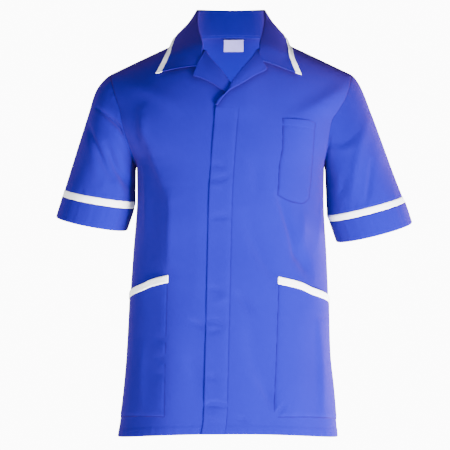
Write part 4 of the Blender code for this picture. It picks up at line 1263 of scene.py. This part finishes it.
def twill_paint(nodes):
    u, v = cloth_place(nodes)
    diagonal = ((u + v * TWILL_RISE) * (math.tau / TWILL_PITCH)).sine()
    yarn = ((u + v * YARN_RISE) * (math.tau / YARN_PITCH)).sine()
    worn, slub = noise(nodes, 9.0, 4.0), noise(nodes, 420.0)
    shade = worn * 0.8 + slub * 0.35 + diagonal * 0.08 - 0.12
    # Painted shade, read from the shells: darkens the cloth beside seams and edges, and below the
    # revers, the collar and the back neck
    seam = nodes.node("ShaderNodeAttribute", {"attribute_name": "seam"}).part("Fac")
    cloth = blend_colours(nodes, BLUE_DEEP, BLUE_BRIGHT, shade)
    return {"Base Color": blend_colours(nodes, cloth, BLUE_PAINTED_SHADE, seam * PAINTED_SHADE_STRENGTH),
            "Roughness": 0.74 + worn * 0.14,
            "Normal": bump(nodes, diagonal * 0.5 + yarn * 0.25 + slub * 0.5, 0.00012, 0.8)}


def tape_paint(nodes):
    u, v = cloth_place(nodes)
    weave = ((u + v) * (math.tau / TAPE_PITCH)).sine() + ((u - v) * (math.tau / TAPE_PITCH)).sine()
    soft = noise(nodes, 60.0, 3.0)
    return {"Base Color": blend_colours(nodes, WHITE_LOW, WHITE_HIGH, soft * 1.2 + weave * 0.05),
            "Roughness": 0.62 + soft * 0.1,
            "Normal": bump(nodes, weave * 0.4 + soft, 0.00010, 0.7)}


def label_paint(nodes):
    u, v = cloth_place(nodes)
    weave = (v * (math.tau / SATIN_PITCH[1])).sine() + (u * (math.tau / SATIN_PITCH[0])).sine() * 0.4
    soft = noise(nodes, 90.0)
    return {"Base Color": blend_colours(nodes, LABEL_LOW, LABEL_HIGH, soft * 1.1),
            "Roughness": 0.40 + soft * 0.12,
            "Normal": bump(nodes, weave * 0.5 + soft, 0.00008, 0.6)}


def thread_paint(low, high):
    def paint(nodes):
        fibre = noise(nodes, 2200.0, 1.0)
        return {"Base Color": blend_colours(nodes, low, high, fibre), "Roughness": 0.5 + fibre * 0.2}
    return paint


# Stitches

# Inputs of the stitches: name, type and value
GIVEN = (("Geometry", "Geometry", None), ("Pitch", "Float", STITCH), ("Radius", "Float", THREAD),
         ("Seed", "Int", 5))
STITCH_HALF, STITCH_FLAT = 0.39, 0.8  # a stitch's half length in pitches, and its height in widths
UNEVEN = (0.85, 0.9, 0.8), (1.05, 1.1, 1.2)  # smallest and largest scale of a stitch


def stitch_maker(thread):
    """A tree that lays stitches along the edges of a mesh, standing out along its attribute "out"."""
    tree = bpy.data.node_groups.new("stitches", "GeometryNodeTree")
    sockets = {}
    for name, kind, _ in GIVEN:
        socket = tree.interface.new_socket(name, in_out="INPUT", socket_type="NodeSocket" + kind)
        sockets[name] = socket.identifier
    tree.interface.new_socket("Geometry", in_out="OUTPUT", socket_type="NodeSocketGeometry")
    nodes = NodeTree(tree)
    given = nodes.node("NodeGroupInput")
    pitch, radius = given.part("Pitch"), given.part("Radius")
    rows = nodes.node("GeometryNodeMeshToCurve", {}, {0: given})
    rows = nodes.node("GeometryNodeResampleCurve", {"mode": "LENGTH"}, {"Curve": rows, "Length": pitch})
    out = nodes.node("GeometryNodeInputNamedAttribute", {"data_type": "FLOAT_VECTOR"}, {"Name": "out"})
    upright = nodes.node("FunctionNodeAlignRotationToVector", {"axis": "Z"}, {"Vector": out})
    along = nodes.node("FunctionNodeAlignRotationToVector", {"axis": "X", "pivot_axis": "Z"},
                       {"Rotation": upright, "Vector": nodes.node("GeometryNodeInputTangent")})
    size = nodes.node("ShaderNodeCombineXYZ", {},
                      {0: pitch * STITCH_HALF, 1: radius, 2: radius * STITCH_FLAT})
    stitch = nodes.node("GeometryNodeMeshUVSphere", {}, {"Segments": 6, "Rings": 4, "Radius": 1.0})
    stitch = nodes.node("GeometryNodeTransform", {}, {"Geometry": stitch, "Scale": size})
    uneven = nodes.node("FunctionNodeRandomValue", {"data_type": "FLOAT_VECTOR"},
                        {0: UNEVEN[0], 1: UNEVEN[1], "Seed": given.part("Seed")})
    laid = nodes.node("GeometryNodeInstanceOnPoints", {},
                      {"Points": rows, "Instance": stitch, "Rotation": along, "Scale": uneven})
    laid = nodes.node("GeometryNodeRealizeInstances", {}, {0: laid})
    laid = nodes.node("GeometryNodeSetMaterial", {}, {"Geometry": laid, "Material": thread})
    tree.links.new(laid.socket, nodes.node("NodeGroupOutput").inputs[0])
    return tree, sockets


def stitches(name, rows, thread):
    """One mesh with all the stitches of a colour."""
    mesh = bpy.data.meshes.new(name + "_rows")
    starts = np.cumsum([0] + [len(points) for points, _ in rows])
    edges = [(first + step, first + step + 1) for first, after in zip(starts, starts[1:])
             for step in range(after - first - 1)]
    points, out = (np.concatenate(parts) for parts in zip(*rows))
    mesh.from_pydata(points.tolist(), edges, [])
    outwards = mesh.attributes.new("out", "FLOAT_VECTOR", "POINT")
    outwards.data.foreach_set("vector", out.astype(np.float32).ravel())
    line = placed(name + "_rows", mesh)
    tree, sockets = stitch_maker(thread)
    maker = line.modifiers.new("stitches", "NODES")
    maker.node_group = tree
    for key, _, value in GIVEN[1:]:
        maker[sockets[key]] = value
    laid = line.evaluated_get(bpy.context.evaluated_depsgraph_get())
    piece = placed(name, bpy.data.meshes.new_from_object(laid))
    bpy.data.objects.remove(line)
    piece.data.shade_smooth()
    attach(piece, "root")


# Stage and camera. The camera is level, and a pixel of its frame spans PIXEL metres on the plane
# of the shoulders.

CAMERA, PIXEL, FRAME_PIXELS, SENSOR = (-0.0114, -4.0, -0.355), 0.0019, 450, 36.0
FLOOR_HEIGHT, FLOOR_RADIUS, FLOOR_GLOW = -2.4, 14.5, 2.2
FLOOR_GREY, WHITE = (0.22, 0.22, 0.22, 1), (1, 1, 1, 1)
# Glow of the sky by the height of the direction, and of the backdrop by its part away from the camera
HORIZON, HORIZON_GLOW, ZENITH_GLOW = (0.11, 0.24), 3.3, 0.20
BACKDROP, BACKDROP_GLOW = (0.93, 0.985), 9.5
SKY_SHARE, FRONT_SHARE = 0.64, 0.07  # share of the glow at the sides, and what the front has more
CHEST = (0.0, 0.0, -0.35)
# Name, place, target, diameter and power of each lamp
LAMPS = (("key", (1.72, -1.98, -1.85), CHEST, 1.1, 590.0),
         ("fill", (-1.50, -2.50, -0.90), CHEST, 1.2, 55.0),
         ("side", (2.9, 0.2, -1.1), CHEST, 1.0, 12.0),
         ("back_left", (-0.9, 2.9, -0.8), CHEST, 1.3, 60.0),
         ("back_right", (2.3, 1.8, -1.6), CHEST, 1.0, 420.0),
         ("inside_neck", (0.0, -0.055, -0.135), (0.0, 0.09, 0.0), 0.10, 1.6))


def world(scene):
    """A pale sky, brightest at the horizon and white behind the tunic."""
    scene.world = scene.world or bpy.data.worlds.new("studio")
    scene.world.use_nodes = True
    tree = scene.world.node_tree
    nodes = NodeTree(tree)

    def ramp(value, ends, start, end):
        return nodes.node("ShaderNodeMapRange", {"interpolation_type": "SMOOTHSTEP"},
                          {"Value": value, "From Min": ends[0], "From Max": ends[1],
                           "To Min": start, "To Max": end})

    direction = nodes.node("ShaderNodeSeparateXYZ", {}, {0: nodes.node("ShaderNodeTexCoord")})
    forward, up = direction.part("Y"), direction.part("Z")
    glow = ramp(up.maths("ABSOLUTE", up), HORIZON, HORIZON_GLOW, ZENITH_GLOW)
    level = glow * (SKY_SHARE - forward * FRONT_SHARE) + ramp(forward, BACKDROP, 0.0, BACKDROP_GLOW)
    tree.nodes["Background"].inputs["Color"].default_value = WHITE
    tree.links.new(level.socket, tree.nodes["Background"].inputs["Strength"])


def stage_and_camera():
    scene = bpy.context.scene
    world(scene)
    bpy.ops.mesh.primitive_circle_add(vertices=96, radius=FLOOR_RADIUS, fill_type="NGON",
                                      location=(0, 0, FLOOR_HEIGHT))
    floor = bpy.context.object
    floor.name = "floor"
    floor.data.materials.append(finish(
        "floor_pale", Base_Color=FLOOR_GREY, Roughness=1.0, Specular_IOR_Level=0.0,
        Emission_Color=WHITE, Emission_Strength=FLOOR_GLOW))
    for name, place, target, size, power in LAMPS:
        data = bpy.data.lights.new(name, "AREA")
        data.shape, data.size, data.energy = "DISK", size, power
        lamp = placed(name, data)
        lamp.location, lamp.visible_camera = place, False
        aim = Vector(target) - Vector(place)
        lamp.rotation_euler = aim.to_track_quat("-Z", "Y").to_euler()
    data = bpy.data.cameras.new("camera")
    data.lens, data.sensor_width = SENSOR * CAMERA[1] / (-FRAME_PIXELS * PIXEL), SENSOR
    scene.camera = placed("camera", data)
    scene.camera.location, scene.camera.rotation_euler = CAMERA, (math.pi / 2, 0, 0)


twill = finish("royal_twill", twill_paint, Sheen_Weight=0.09, Sheen_Roughness=0.6,
               Sheen_Tint=TWILL_SHEEN, Specular_IOR_Level=0.01)
tape_white = finish("tape_cotton", tape_paint, Sheen_Weight=0.35, Sheen_Roughness=0.5)
label_satin = finish("label_satin", label_paint)
blue_thread = finish("blue_thread", thread_paint(*BLUE_THREAD))
white_thread = finish("white_thread", thread_paint(*WHITE_THREAD))

stage_and_camera()
back()
fly_placket()
collar()
chest_pocket()
neck_label()
for hand in (LEFT, RIGHT):
    front(hand)
    revers(hand)
    sleeve(hand)
    hip_pocket(hand)

stitches("stitches_blue", SEWN["blue"], blue_thread)
stitches("stitches_white", SEWN["white"], white_thread)
